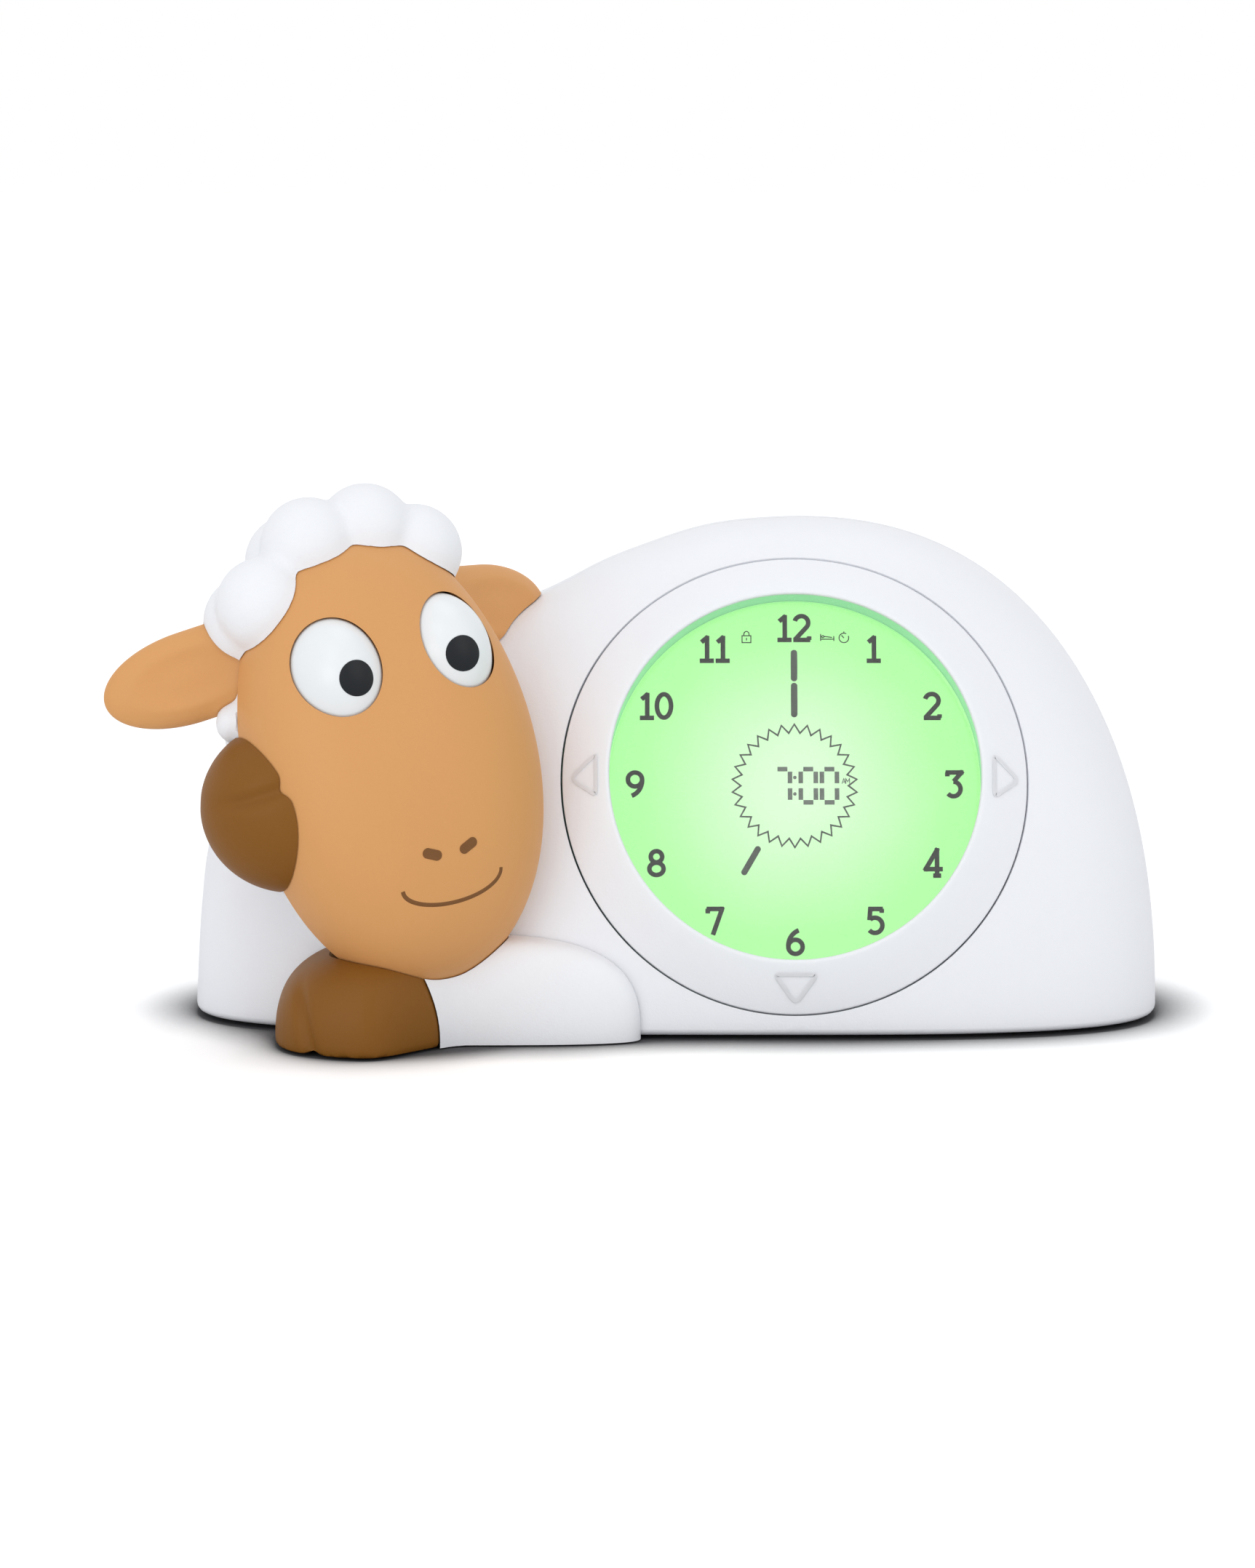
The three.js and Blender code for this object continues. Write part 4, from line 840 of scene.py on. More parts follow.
def make_grain_group():
    """Fine moulded grain: a height for bump and a matching roughness."""
    tree, start, end = group_of(
        "moulded grain",
        [
            ("Coordinates", VECTOR, None), ("Scale", FLOAT, 2200.0), ("Roughness", FLOAT, 0.45),
            ("Spread", FLOAT, 0.06)
        ],
        [("Height", FLOAT), ("Roughness", FLOAT)],
    )
    fine = node(tree, "ShaderNodeTexNoise", noise_dimensions="3D", Detail=3.0)
    link(tree, start.outputs["Coordinates"], fine.inputs["Vector"])
    link(tree, start.outputs["Scale"], fine.inputs["Scale"])
    broad = node(tree, "ShaderNodeTexNoise", noise_dimensions="3D", Scale=38.0, Detail=2.0)
    link(tree, start.outputs["Coordinates"], broad.inputs["Vector"])
    both = node(tree, "ShaderNodeMath", operation="ADD")
    link(tree, fine.outputs["Fac"], both.inputs[0])
    link(tree, broad.outputs["Fac"], both.inputs[1])
    centred = node(tree, "ShaderNodeMath", operation="SUBTRACT")
    centred.inputs[1].default_value = 1.0
    link(tree, both.outputs[0], centred.inputs[0])
    swing = node(tree, "ShaderNodeMath", operation="MULTIPLY_ADD")
    link(tree, centred.outputs[0], swing.inputs[0])
    link(tree, start.outputs["Spread"], swing.inputs[1])
    link(tree, start.outputs["Roughness"], swing.inputs[2])
    link(tree, fine.outputs["Fac"], end.inputs["Height"])
    link(tree, swing.outputs[0], end.inputs["Roughness"])
    return tree


def make_tone_group():
    """Slow drift of tone over a moulded surface, and a little dust where it faces up."""
    tree, start, end = group_of(
        "tone and dust",
        [
            ("Coordinates", VECTOR, None), ("Colour", COLOUR, None), ("Second Colour", COLOUR, None),
            ("Scale", FLOAT, 26.0), ("Drift", FLOAT, 0.5), ("Dust", FLOAT, 0.05),
            ("Dust Colour", COLOUR, None),
        ],
        [("Colour", COLOUR), ("Mask", FLOAT)],
    )
    drift = node(tree, "ShaderNodeTexNoise", noise_dimensions="3D", Detail=2.5)
    link(tree, start.outputs["Coordinates"], drift.inputs["Vector"])
    link(tree, start.outputs["Scale"], drift.inputs["Scale"])
    share = node(tree, "ShaderNodeMath", operation="MULTIPLY")
    link(tree, drift.outputs["Fac"], share.inputs[0])
    link(tree, start.outputs["Drift"], share.inputs[1])
    toned = node(tree, "ShaderNodeMix", data_type="RGBA")
    link(tree, share.outputs[0], toned.inputs["Factor"])
    link(tree, start.outputs["Colour"], toned.inputs[6])
    link(tree, start.outputs["Second Colour"], toned.inputs[7])
    facing = node(tree, "ShaderNodeNewGeometry")
    split = node(tree, "ShaderNodeSeparateXYZ")
    link(tree, facing.outputs["Normal"], split.inputs[0])
    up = node(tree, "ShaderNodeMapRange", From_Min=0.35, From_Max=1.0)
    link(tree, split.outputs["Z"], up.inputs["Value"])
    speck = node(tree, "ShaderNodeTexNoise", noise_dimensions="3D", Scale=420.0, Detail=4.0)
    link(tree, start.outputs["Coordinates"], speck.inputs["Vector"])
    lying = node(tree, "ShaderNodeMath", operation="MULTIPLY")
    link(tree, up.outputs["Result"], lying.inputs[0])
    link(tree, speck.outputs["Fac"], lying.inputs[1])
    amount = node(tree, "ShaderNodeMath", operation="MULTIPLY")
    link(tree, lying.outputs[0], amount.inputs[0])
    link(tree, start.outputs["Dust"], amount.inputs[1])
    dusted = node(tree, "ShaderNodeMix", data_type="RGBA")
    link(tree, amount.outputs[0], dusted.inputs["Factor"])
    link(tree, toned.outputs[2], dusted.inputs[6])
    link(tree, start.outputs["Dust Colour"], dusted.inputs[7])
    link(tree, dusted.outputs[2], end.inputs["Colour"])
    link(tree, amount.outputs[0], end.inputs["Mask"])
    return tree


def shared(name, maker):
    return bpy.data.node_groups.get(name) or maker()


def linear(colour):
    """A screen colour of three numbers from 0 to 255, as a shader takes it."""
    return [((c / 255 + 0.055) / 1.055) ** 2.4 if c > 10 else c / 255 / 12.92 for c in colour] + [1.0]


def deeper(colour, share):
    return [c * share for c in colour[:3]] + [1.0]


def moulded(name, colour, second=None, roughness=0.45, spread=0.06, grain=2200.0, bump=0.0004, drift=0.5, dust=0.05,
            **plain):
    """A moulded plastic: drift of tone, dust, fine grain in roughness and bump. plain sets shader sockets."""
    made = bpy.data.materials.get(name)
    if made:
        return made
    made = bpy.data.materials.new(name)
    made.use_nodes = True
    tree = made.node_tree
    shader = tree.nodes["Principled BSDF"]
    place = node(tree, "ShaderNodeTexCoord")
    tone = node(tree, "ShaderNodeGroup", node_tree=shared("tone and dust", make_tone_group))
    tone.inputs["Colour"].default_value = colour
    tone.inputs["Second Colour"].default_value = second or deeper(colour, 0.94)
    tone.inputs["Dust Colour"].default_value = (0.62, 0.62, 0.6, 1)
    tone.inputs["Drift"].default_value = drift
    tone.inputs["Dust"].default_value = dust
    link(tree, place.outputs["Object"], tone.inputs["Coordinates"])
    link(tree, tone.outputs["Colour"], shader.inputs["Base Color"])
    texture = node(tree, "ShaderNodeGroup", node_tree=shared("moulded grain", make_grain_group))
    texture.inputs["Scale"].default_value = grain
    texture.inputs["Roughness"].default_value = roughness
    texture.inputs["Spread"].default_value = spread
    link(tree, place.outputs["Object"], texture.inputs["Coordinates"])
    link(tree, texture.outputs["Roughness"], shader.inputs["Roughness"])
    relief = node(tree, "ShaderNodeBump", Strength=0.35, Distance=bump)
    link(tree, texture.outputs["Height"], relief.inputs["Height"])
    link(tree, relief.outputs["Normal"], shader.inputs["Normal"])
    for label, value in plain.items():
        shader.inputs[label.replace("_", " ")].default_value = value
    return made


def glowing(name, middle, edge, reach, strength, base, roughness=0.3):
    """A lit plastic whose glow fades from the dial's middle to its edge."""
    made = bpy.data.materials.get(name)
    if made:
        return made
    made = moulded(name, base, roughness=roughness, dust=0.0, drift=0.3)
    tree = made.node_tree
    shader = tree.nodes["Principled BSDF"]
    place = node(tree, "ShaderNodeTexCoord")
    centre = node(tree, "ShaderNodeVectorMath", operation="DISTANCE")
    centre.inputs[1].default_value = DIAL * MM
    link(tree, place.outputs["Object"], centre.inputs[0])
    span = node(
        tree, "ShaderNodeMapRange", From_Min=0.0, From_Max=reach * MM, interpolation_type="SMOOTHSTEP"
    )
    link(tree, centre.outputs["Value"], span.inputs["Value"])
    cloud = node(tree, "ShaderNodeTexNoise", noise_dimensions="3D", Scale=45.0, Detail=1.0)
    link(tree, place.outputs["Object"], cloud.inputs["Vector"])
    ripple = node(tree, "ShaderNodeMath", operation="MULTIPLY_ADD")
    ripple.inputs[1].default_value = 0.16
    link(tree, cloud.outputs["Fac"], ripple.inputs[0])
    link(tree, span.outputs["Result"], ripple.inputs[2])
    light = node(tree, "ShaderNodeMix", data_type="RGBA")
    light.inputs[6].default_value = middle
    light.inputs[7].default_value = edge
    link(tree, ripple.outputs[0], light.inputs["Factor"])
    link(tree, light.outputs[2], shader.inputs["Emission Color"])
    shader.inputs["Emission Strength"].default_value = strength
    return made


def clear(name, colour, roughness, ior):
    made = bpy.data.materials.get(name)
    if made:
        return made
    made = moulded(name, colour, roughness=roughness, spread=0.02, bump=0.00002, dust=0.0, drift=0.1)
    shader = made.node_tree.nodes["Principled BSDF"]
    shader.inputs["Transmission Weight"].default_value = 1.0
    shader.inputs["IOR"].default_value = ior
    return made


# Settings that a user would change


def length(label, default, description):
    return bpy.props.FloatProperty(
        name=label, default=default * MM, unit="LENGTH", subtype="DISTANCE", precision=5,
        description=description
    )


def tint(label, colour, description):
    return bpy.props.FloatVectorProperty(
        name=label, default=linear(colour), size=4, subtype="COLOR", min=0, max=1, description=description
    )


class ClockSizes(bpy.types.PropertyGroup):
    """Sizes of the clock's visible details."""

    shell_wall: length("Shell wall", 2.4, "Thickness of the housing's wall")
    lip_round: length("Pocket lip", 0.3, "Rounding of the housing's edge round the control ring")
    seam_gap: length("Seam gap", 0.3, "Gap between the two halves of the housing")
    ring_crest: length("Ring crest", 3.5, "How far the ring stands proud at its mouth")
    mouth_round: length("Ring mouth", 1.1, "Rounding of the ring's inner edge")
    mark_height: length("Mark height", 0.18, "How far the ring's pressing marks stand out")
    mark_line: length("Mark line", 0.8, "Width of the line of a pressing mark")
    numeral_height: length("Numerals", 6.45, "Height of the dial's numerals")
    numeral_line: length("Numeral line", 1.06, "Width of the line of a numeral")
    numeral_orbit: length("Numeral circle", 36.2, "Radius of the circle of numerals")
    print_line: length("Face print line", 0.9, "Width of the printed line of the sheep's mouth")
    ear_cup: length("Ear hollow", 1.3, "Depth of the hollow in front of each ear")
    hoof_groove: length("Hoof groove", 1.3, "Depth of the cleft of each hoof")
    wool_voxel: length("Wool detail", 0.9, "Grid that the wool's skin is made on")


class ClockColours(bpy.types.PropertyGroup):
    """Colours of the clock's finishes."""

    housing: tint("Housing", (240, 241, 245), "White of the housing, ring and foreleg")
    wool: tint("Wool", (242, 243, 246), "White of the wool")
    face: tint("Face", (219, 159, 98), "Tan of face, ears and eyelids")
    hoof: tint("Hoof", (135, 87, 26), "Brown of the hooves")
    face_print: tint("Face print", (118, 74, 24), "Brown of nose and mouth")
    eye: tint("Eye", (236, 239, 240), "White of the eyes")
    pupil: tint("Pupil", (24, 28, 32), "Near black of the pupils")
    dial_middle: tint("Dial middle", (228, 255, 222), "Lit green in the middle of the dial")
    dial_edge: tint("Dial edge", (172, 252, 158), "Lit green at the dial's edge")
    sleeve: tint("Sleeve", (150, 222, 168), "Green of the lit sleeve round the dial")
    segment: tint("Segment", (24, 26, 24), "Dark grey of printed numerals and small signs")
    hand: tint("Hand", (92, 96, 92), "Grey of the bars and the toothed ring")
    segment_soft: tint("Soft segment", (128, 133, 128), "Lighter grey of the segments that show the time")


def sizes():
    return bpy.context.scene.clock_sizes


def colours():
    return bpy.context.scene.clock_colours


def mm(value):
    return value / MM


# Finishes by their plain names


def housing_white():
    return moulded(
        "satin white plastic", tuple(colours().housing), roughness=0.42, bump=0.00012, drift=0.25,
        Subsurface_Weight=0.4, Subsurface_Radius=(1, 1, 1), Subsurface_Scale=0.0012,
    )


def wool_white():
    return moulded("matt white plastic", tuple(colours().wool), roughness=0.55, bump=0.0002, drift=0.25)


def face_tan():
    colour = tuple(colours().face)
    return moulded(
        "tan plastic", colour, deeper(colour, 0.93), 0.5, 0.06, 2200, 0.00012, 0.4, 0.02,
        Specular_IOR_Level=0.3
    )


def hoof_brown():
    colour = tuple(colours().hoof)
    return moulded(
        "brown plastic", colour, deeper(colour, 0.85), 0.5, 0.06, 2200, 0.00012, 0.5, 0.015,
        Specular_IOR_Level=0.2
    )


def steel():
    """Zinc-plated steel, with fine noise grain in its roughness."""
    colour = (0.6, 0.61, 0.62, 1)
    return moulded(
        "plated steel", colour, deeper(colour, 0.8), 0.32, 0.12, 3200, 0.00003, 0.8, 0.04, Metallic=0.95
    )


def circuit_board():
    """Green board with paler lines of copper under its lacquer, and tinned pads."""
    made = bpy.data.materials.get("circuit board")
    if made:
        return made
    made = moulded("circuit board", (0.012, 0.13, 0.06, 1), roughness=0.35, bump=0.00005, dust=0.03)
    tree = made.node_tree
    shader = tree.nodes["Principled BSDF"]
    place = node(tree, "ShaderNodeTexCoord")
    tracks = node(tree, "ShaderNodeTexBrick", Scale=420.0, Mortar_Size=0.035)
    tracks.inputs["Color1"].default_value = (0.012, 0.13, 0.06, 1)
    tracks.inputs["Color2"].default_value = (0.014, 0.15, 0.07, 1)
    tracks.inputs["Mortar"].default_value = (0.05, 0.3, 0.13, 1)
    link(tree, place.outputs["Object"], tracks.inputs["Vector"])
    pads = node(tree, "ShaderNodeTexVoronoi", Scale=330.0)
    link(tree, place.outputs["Object"], pads.inputs["Vector"])
    near = node(tree, "ShaderNodeMath", operation="LESS_THAN")
    near.inputs[1].default_value = 0.16
    link(tree, pads.outputs["Distance"], near.inputs[0])
    tinned = node(tree, "ShaderNodeMix", data_type="RGBA")
    tinned.inputs[7].default_value = (0.6, 0.6, 0.58, 1)
    link(tree, near.outputs[0], tinned.inputs["Factor"])
    link(tree, tracks.outputs["Color"], tinned.inputs[6])
    link(tree, tinned.outputs[2], shader.inputs["Base Color"])
    link(tree, near.outputs[0], shader.inputs["Metallic"])
    return made


def cell_jacket():
    """A dry cell's plain two-tone jacket, parted along its length."""
    made = bpy.data.materials.get("cell jacket")
    if made:
        return made
    made = moulded("cell jacket", (0.03, 0.04, 0.05, 1), roughness=0.3, bump=0.00002, dust=0.02, Metallic=0.3)
    tree = made.node_tree
    shader = tree.nodes["Principled BSDF"]
    place = node(tree, "ShaderNodeTexCoord")
    split = node(tree, "ShaderNodeSeparateXYZ")
    link(tree, place.outputs["Object"], split.inputs[0])
    low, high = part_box("battery_2")
    side = node(tree, "ShaderNodeMath", operation="GREATER_THAN")
    side.inputs[1].default_value = low.x + (high.x - low.x) * 0.72
    link(tree, split.outputs["X"], side.inputs[0])
    tone = node(tree, "ShaderNodeMix", data_type="RGBA")
    tone.inputs[6].default_value = (0.02, 0.16, 0.09, 1)
    tone.inputs[7].default_value = (0.55, 0.36, 0.16, 1)
    link(tree, side.outputs[0], tone.inputs["Factor"])
    link(tree, tone.outputs[2], shader.inputs["Base Color"])
    return made


def print_ink(name, colour):
    return moulded(name, colour, roughness=0.6, bump=0.00003, drift=0.3, dust=0.0)


class ClockOperator:
    """What the operators share: each makes its pieces, or raises an error."""

    bl_options = {"REGISTER"}

    def execute(self, context):
        self.make()
        return {"FINISHED"}


class CLOCK_OT_dome(ClockOperator, bpy.types.Operator):
    """Make the two halves of the domed housing"""

    bl_idname = "clock.dome"
    bl_label = "Housing"

    def make(self):
        self.front()
        self.rear()

    def front(self):
        lip = mm(sizes().lip_round)
        gap = mm(sizes().seam_gap)
        point, normal = seam_plane(-gap / 2)
        bm = sliced(dome_skin(0, 288, 96), point, normal)
        dial_inverse = DIAL_MATRIX.inverted()
        clearing = POCKET_RADIUS + lip + 1.2
        near = [v for v in bm.verts if (dial_inverse @ v.co).xy.length < clearing]
        bmesh.ops.delete(bm, geom=near, context="VERTS")
        hole = [
            e for e in bm.edges
            if e.is_boundary and all((dial_inverse @ v.co).xy.length < clearing + 6 for v in e.verts)
        ]
        hole = [e for e in hole if min((dial_inverse @ v.co).z for v in e.verts) > HOLE_DEEPEST]
        ring = bmesh.ops.create_circle(bm, segments=240, radius=POCKET_RADIUS + lip)["verts"]
        skins = {}
        for vert in ring:
            u, v = vert.co.xy
            flat = vert.co.xy.normalized()
            skins[vert] = (flat, dial_skin(u, v))
            vert.co = DIAL_MATRIX @ Vector((u, v, skins[vert][1]))
        edges = [e for e in bm.edges if all(v in skins for v in e.verts)]
        filled = bmesh.ops.triangle_fill(
            bm, use_beauty=True, use_dissolve=False, edges=hole + edges, normal=N
        )
        band = [g for g in filled["geom"] if isinstance(g, bmesh.types.BMFace)]
        spokes = {
            e for f in band for e in f.edges if all(near in band for near in e.link_faces) and not e.is_boundary
        }
        finer = bmesh.ops.subdivide_edges(bm, edges=list(spokes), cuts=2)["geom_inner"]
        for vert in (g for g in finer if isinstance(g, bmesh.types.BMVert)):
            u, v = (dial_inverse @ vert.co).xy
            vert.co = DIAL_MATRIX @ Vector((u, v, dial_skin(u, v)))
        bmesh.ops.triangulate(bm, faces=[f for f in bm.faces if len(f.verts) > 4])
        edges = [e for e in bm.edges if e.is_boundary and all(v in skins for v in e.verts)]
        steps = [(lip * (1 - math.sin(a)), lip * (math.cos(a) - 1)) for a in (0.5, 1.0, QUARTER)]
        path = [(POCKET_RADIUS + out, None, drop) for out, drop in steps]
        path += [
            (POCKET_RADIUS, LEDGE_LEVEL, 0), (CHANNEL_RADIUS, LEDGE_LEVEL, 0),
            (CHANNEL_RADIUS, CHANNEL_FLOOR, 0),
            (FLOOR_HOLE, CHANNEL_FLOOR, 0),
        ]
        for radius, level, drop in path:
            made = bmesh.ops.extrude_edge_only(bm, edges=edges)["geom"]
            edges = [g for g in made if isinstance(g, bmesh.types.BMEdge)]
            below = {}
            for vert in (g for g in made if isinstance(g, bmesh.types.BMVert)):
                above = next(e.other_vert(vert) for e in vert.link_edges if e.other_vert(vert) in skins)
                below[vert] = skins[above]
            skins = below
            for vert, (flat, skin) in skins.items():
                height = skin + drop if level is None else level
                vert.co = DIAL_MATRIX @ Vector((flat.x * radius, flat.y * radius, height))
        bm = walled(bm, mm(sizes().shell_wall))
        piece(bm, "dome_front", "housing", housing_white(), "housing_white", "front_shell", sharp=40)

    def rear(self):
        gap = mm(sizes().seam_gap)
        point, normal = seam_plane(gap / 2)
        bm = sliced(dome_skin(0, 288, 96), point, -normal)
        bm = walled(bm, mm(sizes().shell_wall))
        cutters = []
        speaker_low, speaker_high = (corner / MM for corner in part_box("speaker"))
        speaker = (speaker_low + speaker_high) / 2
        slots, pitch, height, reach = 6, 4.6, 2.0, 15.0
        for i in range(slots):
            level = (i - (slots - 1) / 2) * pitch
            side = math.sqrt(reach**2 - level**2)
            slot_form = block((-side, 0, -height / 2), (side, 90, height / 2))
            ends = [e for e in slot_form.edges if abs((e.verts[0].co - e.verts[1].co).y) > 1]
            bmesh.ops.bevel(
                slot_form, geom=ends, offset=height * 0.49, segments=5, profile=0.5, affect="EDGES",
                material=-1
            )
            cutters.append(moved(slot_form, Matrix.Translation((speaker.x, DOME_Y + 8, speaker.z + level))))
        inlet_low, inlet_high = (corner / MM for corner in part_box("power_inlet"))
        inlet = (inlet_low + inlet_high) / 2
        cutters.append(
            moved(along_y(rod(3.3, 0, 90, 48)), Matrix.Translation((inlet.x, DOME_Y + 8, inlet.z)))
        )
        for n in range(1, 5):
            low, high = (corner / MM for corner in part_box(f"housing_screw_{n}"))
            middle = (low + high) / 2
            cutters.append(
                moved(along_y(rod(3.4, 0, 90, 40)), Matrix.Translation((middle.x, high.y - 2.3, middle.z)))
            )
        bm = cut(bm, *cutters)
        piece(bm, "dome_rear", "housing", housing_white(), "housing_white", "rear_shell", sharp=40)


class CLOCK_OT_ring(ClockOperator, bpy.types.Operator):
    """Make the control ring and its raised pressing marks"""

    bl_idname = "clock.ring"
    bl_label = "Control ring"

    def make(self):
        mouth = mm(sizes().mouth_round)
        edge = RING_EDGE
        bend = [i / 5 * QUARTER for i in range(6)]
        profile = [(RING_HOLLOW, RING_BACK), (RING_HOLLOW, -RING_LIP), (RING_BORE, -RING_LIP)]
        profile += [(RING_BORE + mouth * (1 - math.cos(a)), -mouth * (1 - math.sin(a))) for a in bend]
        span = RING_WIDTH - mouth - edge
        profile += [(RING_BORE + mouth + span * k / 9, 0.0) for k in range(1, 9)]
        profile += [(RING_RADIUS - edge * (1 - math.sin(a)), -edge * (1 - math.cos(a))) for a in bend]
        profile += [
            (RING_RADIUS, RING_RIM_BACK), (RING_RADIUS - RING_RIM_WIDTH, RING_RIM_BACK),
            (RING_RADIUS - RING_RIM_WIDTH, RING_BACK),
        ]
        bm = spun(profile, 240, closed=True)
        for vert in bm.verts:
            lifted = on_ring(vert.co)
            vert.co = lifted if vert.co.z > -2 else Vector((lifted.x, lifted.y, vert.co.z))
        bmesh.ops.recalc_face_normals(bm, faces=bm.faces)
        forms = [moved(bm, DIAL_MATRIX)] + [self.mark(angle) for angle in (0, 180, 270)]
        piece(joined(forms), "ring_cap", "ring", housing_white(), "housing_white", "control_ring", sharp=40)

    def mark(self, degrees):
        """A raised triangle outline whose tip points away from the dial."""
        line = mm(sizes().mark_line)
        high = mm(sizes().mark_height)
        bm = bmesh.new()
        verts = bmesh.ops.create_circle(bm, cap_ends=True, segments=3, radius=1)["verts"]
        corners = [(RING_RADIUS - 1.3, 0), (RING_BORE + 2.6, 5.6), (RING_BORE + 2.6, -5.6)]
        for vert in verts:
            corner = min(
                range(3), key=lambda k: (vert.co.xy - Vector((math.cos(k * TURN / 3), math.sin(k * TURN / 3)))).length
            )
            vert.co = Vector((*corners[corner], 0))
        bmesh.ops.bevel(
            bm, geom=bm.verts[:], offset=1.9, segments=4, profile=0.5, affect="VERTICES", material=-1
        )
        bmesh.ops.inset_region(bm, faces=bm.faces[:], thickness=line, use_boundary=True, use_even_offset=True)
        inner = max(bm.faces, key=lambda f: len(f.verts))
        bmesh.ops.delete(bm, geom=[inner], context="FACES")
        bmesh.ops.subdivide_edges(
            bm, edges=[e for e in bm.edges if e.calc_length() > 2], cuts=5, use_grid_fill=True
        )
        top = bmesh.ops.extrude_face_region(bm, geom=bm.faces[:])["geom"]
        raised = [g for g in top if isinstance(g, bmesh.types.BMVert)]
        bmesh.ops.translate(bm, vec=(0, 0, high + 0.3), verts=raised)
        bmesh.ops.rotate(
            bm, cent=(0, 0, 0), matrix=Matrix.Rotation(math.radians(degrees), 3, "Z"), verts=bm.verts
        )
        for vert in bm.verts:
            vert.co = on_ring(vert.co) - Vector((0, 0, 0.3))
        bmesh.ops.recalc_face_normals(bm, faces=bm.faces)
        return moved(bm, DIAL_MATRIX)


class CLOCK_OT_display(ClockOperator, bpy.types.Operator):
    """Make the lens, the lit sleeve and the lit panel"""

    bl_idname = "clock.display"
    bl_label = "Display"

    def make(self):
        middle, edge = tuple(colours().dial_middle), tuple(colours().dial_edge)
        raised = DIAL_MATRIX @ Matrix.Translation((0, PANEL_RISE, 0))
        lens = spun(
            [(0, LENS_BACK), (WINDOW_RADIUS, LENS_BACK), (WINDOW_RADIUS, LENS_FRONT - 0.2),
             (WINDOW_RADIUS - 0.2, LENS_FRONT), (0, LENS_FRONT)], 144,
        )
        piece(
            moved(lens, raised), "dial_window", "housing",
            clear("clear acrylic", (0.97, 1, 0.97, 1), 0.06, 1.49),
            "dial_clear", "dial_lens",
        )
        self.sleeve()
        panel = spun([(0, LCD_BACK), (LCD_RADIUS, LCD_BACK), (LCD_RADIUS, LCD_FRONT), (0, LCD_FRONT)], 144)
        lit = glowing("lit dial panel", middle, edge, 44.0, 1.0, (0.02, 0.03, 0.02, 1), 0.25)
        piece(moved(panel, raised), "dial_panel", "housing", lit, "lcd_glass", "lcd_panel")
        self.numerals()
        self.hands()
        self.time()
        self.signs()

    def sleeve(self):
        """The sleeve, whose glow is painted light standing in for the lit panel's light on its walls: a bell that
        follows the ring's lip, on a narrower tube with a flange.
        """
        top = BELL_BACK + 1
        cup = spun(
            [(CUP_INNER, CUP_BACK), (CUP_OUTER + CUP_FLANGE, CUP_BACK), (
                CUP_OUTER + CUP_FLANGE, CUP_BACK + 1
            ),
             (CUP_OUTER, CUP_BACK + 1), (CUP_OUTER, BELL_BACK), (BELL_OUTER, BELL_BACK), (BELL_OUTER, 0),
             (BELL_INNER, 0), (BELL_INNER, LENS_FRONT), (BELL_INNER, top), (CUP_INNER, top)], 240,
             closed=True,
        )
        crest = mm(sizes().ring_crest)
        for vert in cup.verts:
            u, v, level = vert.co
            if level == 0:
                level = dial_skin(u, v + MOUTH_RISE) + crest - RING_LIP - BELL_GAP
                vert.co = (u, v + MOUTH_RISE, level)
            elif level > BELL_BACK - 0.1:
                vert.co = (u, v + PANEL_RISE, level)
        green = tuple(colours().sleeve)
        # Painted light: the sleeve's own glow, brighter in the middle and darker at the edge, stands in for the light
        # the lit panel throws on its walls.
        glow = glowing("sleeve plastic with painted panel light", green, deeper(green, 0.8), 46.0, 0.62, deeper(green, 0.6))
        piece(moved(cup, DIAL_MATRIX), "dial_sleeve", "housing", glow, "glow_plastic", "display_cup")

    def show(self, forms, name, ink, drop=0.35):
        """Printed forms laid on the front of the lit panel."""
        place = DIAL_MATRIX @ Matrix.Translation((0.1, PANEL_RISE - drop, LCD_FRONT + 0.02))
        piece(moved(joined(forms), place), name, "housing", ink, "lcd_glass", weighted=False)

    def numerals(self):
        orbit, high, line = (
            mm(v) for v in (sizes().numeral_orbit, sizes().numeral_height, sizes().numeral_line)
        )
        forms = []
        for hour in range(1, 13):
            angle = QUARTER - hour / 12 * TURN
            place = Matrix.Translation((orbit * math.cos(angle), orbit * math.sin(angle), 0))
            forms.append(moved(written(str(hour), high, line, PRINT_RISE), place))
        self.show(forms, "dial_numerals", print_ink("numeral print", tuple(colours().segment)), 0.0)

    def hands(self):
        """The short bars that point to the full hour and to seven, and the toothed ring in the middle."""
        ink = print_ink("hand print", tuple(colours().hand))
        upright = [bar(0, y, long, 1.5, True, PRINT_RISE, 32) for y, long in ((19.8, 8.0), (27.8, 7.3))]
        seven = math.radians(-30)
        lower = bar(0, -19.9, 7.5, 1.4, True, PRINT_RISE, 32)
        forms = upright + [moved(lower, Matrix.Rotation(seven, 4, "Z"))]
        self.show(forms, "dial_hands", ink)
        self.show([self.toothed(30, 12.2, 14.2, 0.64)], "dial_toothed_ring", ink)

    def toothed(self, teeth, inner, outer, line):
        """A ring drawn as one zigzag line."""
        bm = bmesh.new()
        rims = []
        for shift in (line / 2, -line / 2):
            verts = bmesh.ops.create_circle(bm, segments=teeth * 2, radius=1)["verts"]
            for vert in verts:
                turn = round(math.atan2(vert.co.y, vert.co.x) / TURN * teeth * 2) + teeth // 2
                vert.co.xy = vert.co.xy.normalized() * ((outer if turn % 2 == 0 else inner) + shift)
            rims += [e for e in bm.edges if e.verts[0] in verts]
        bmesh.ops.bridge_loops(bm, edges=rims)
        made = bmesh.ops.extrude_face_region(bm, geom=bm.faces[:])["geom"]
        bmesh.ops.translate(
            bm, vec=(0, 0, PRINT_RISE), verts=[g for g in made if isinstance(g, bmesh.types.BMVert)]
        )
        bmesh.ops.recalc_face_normals(bm, faces=bm.faces)
        return bm

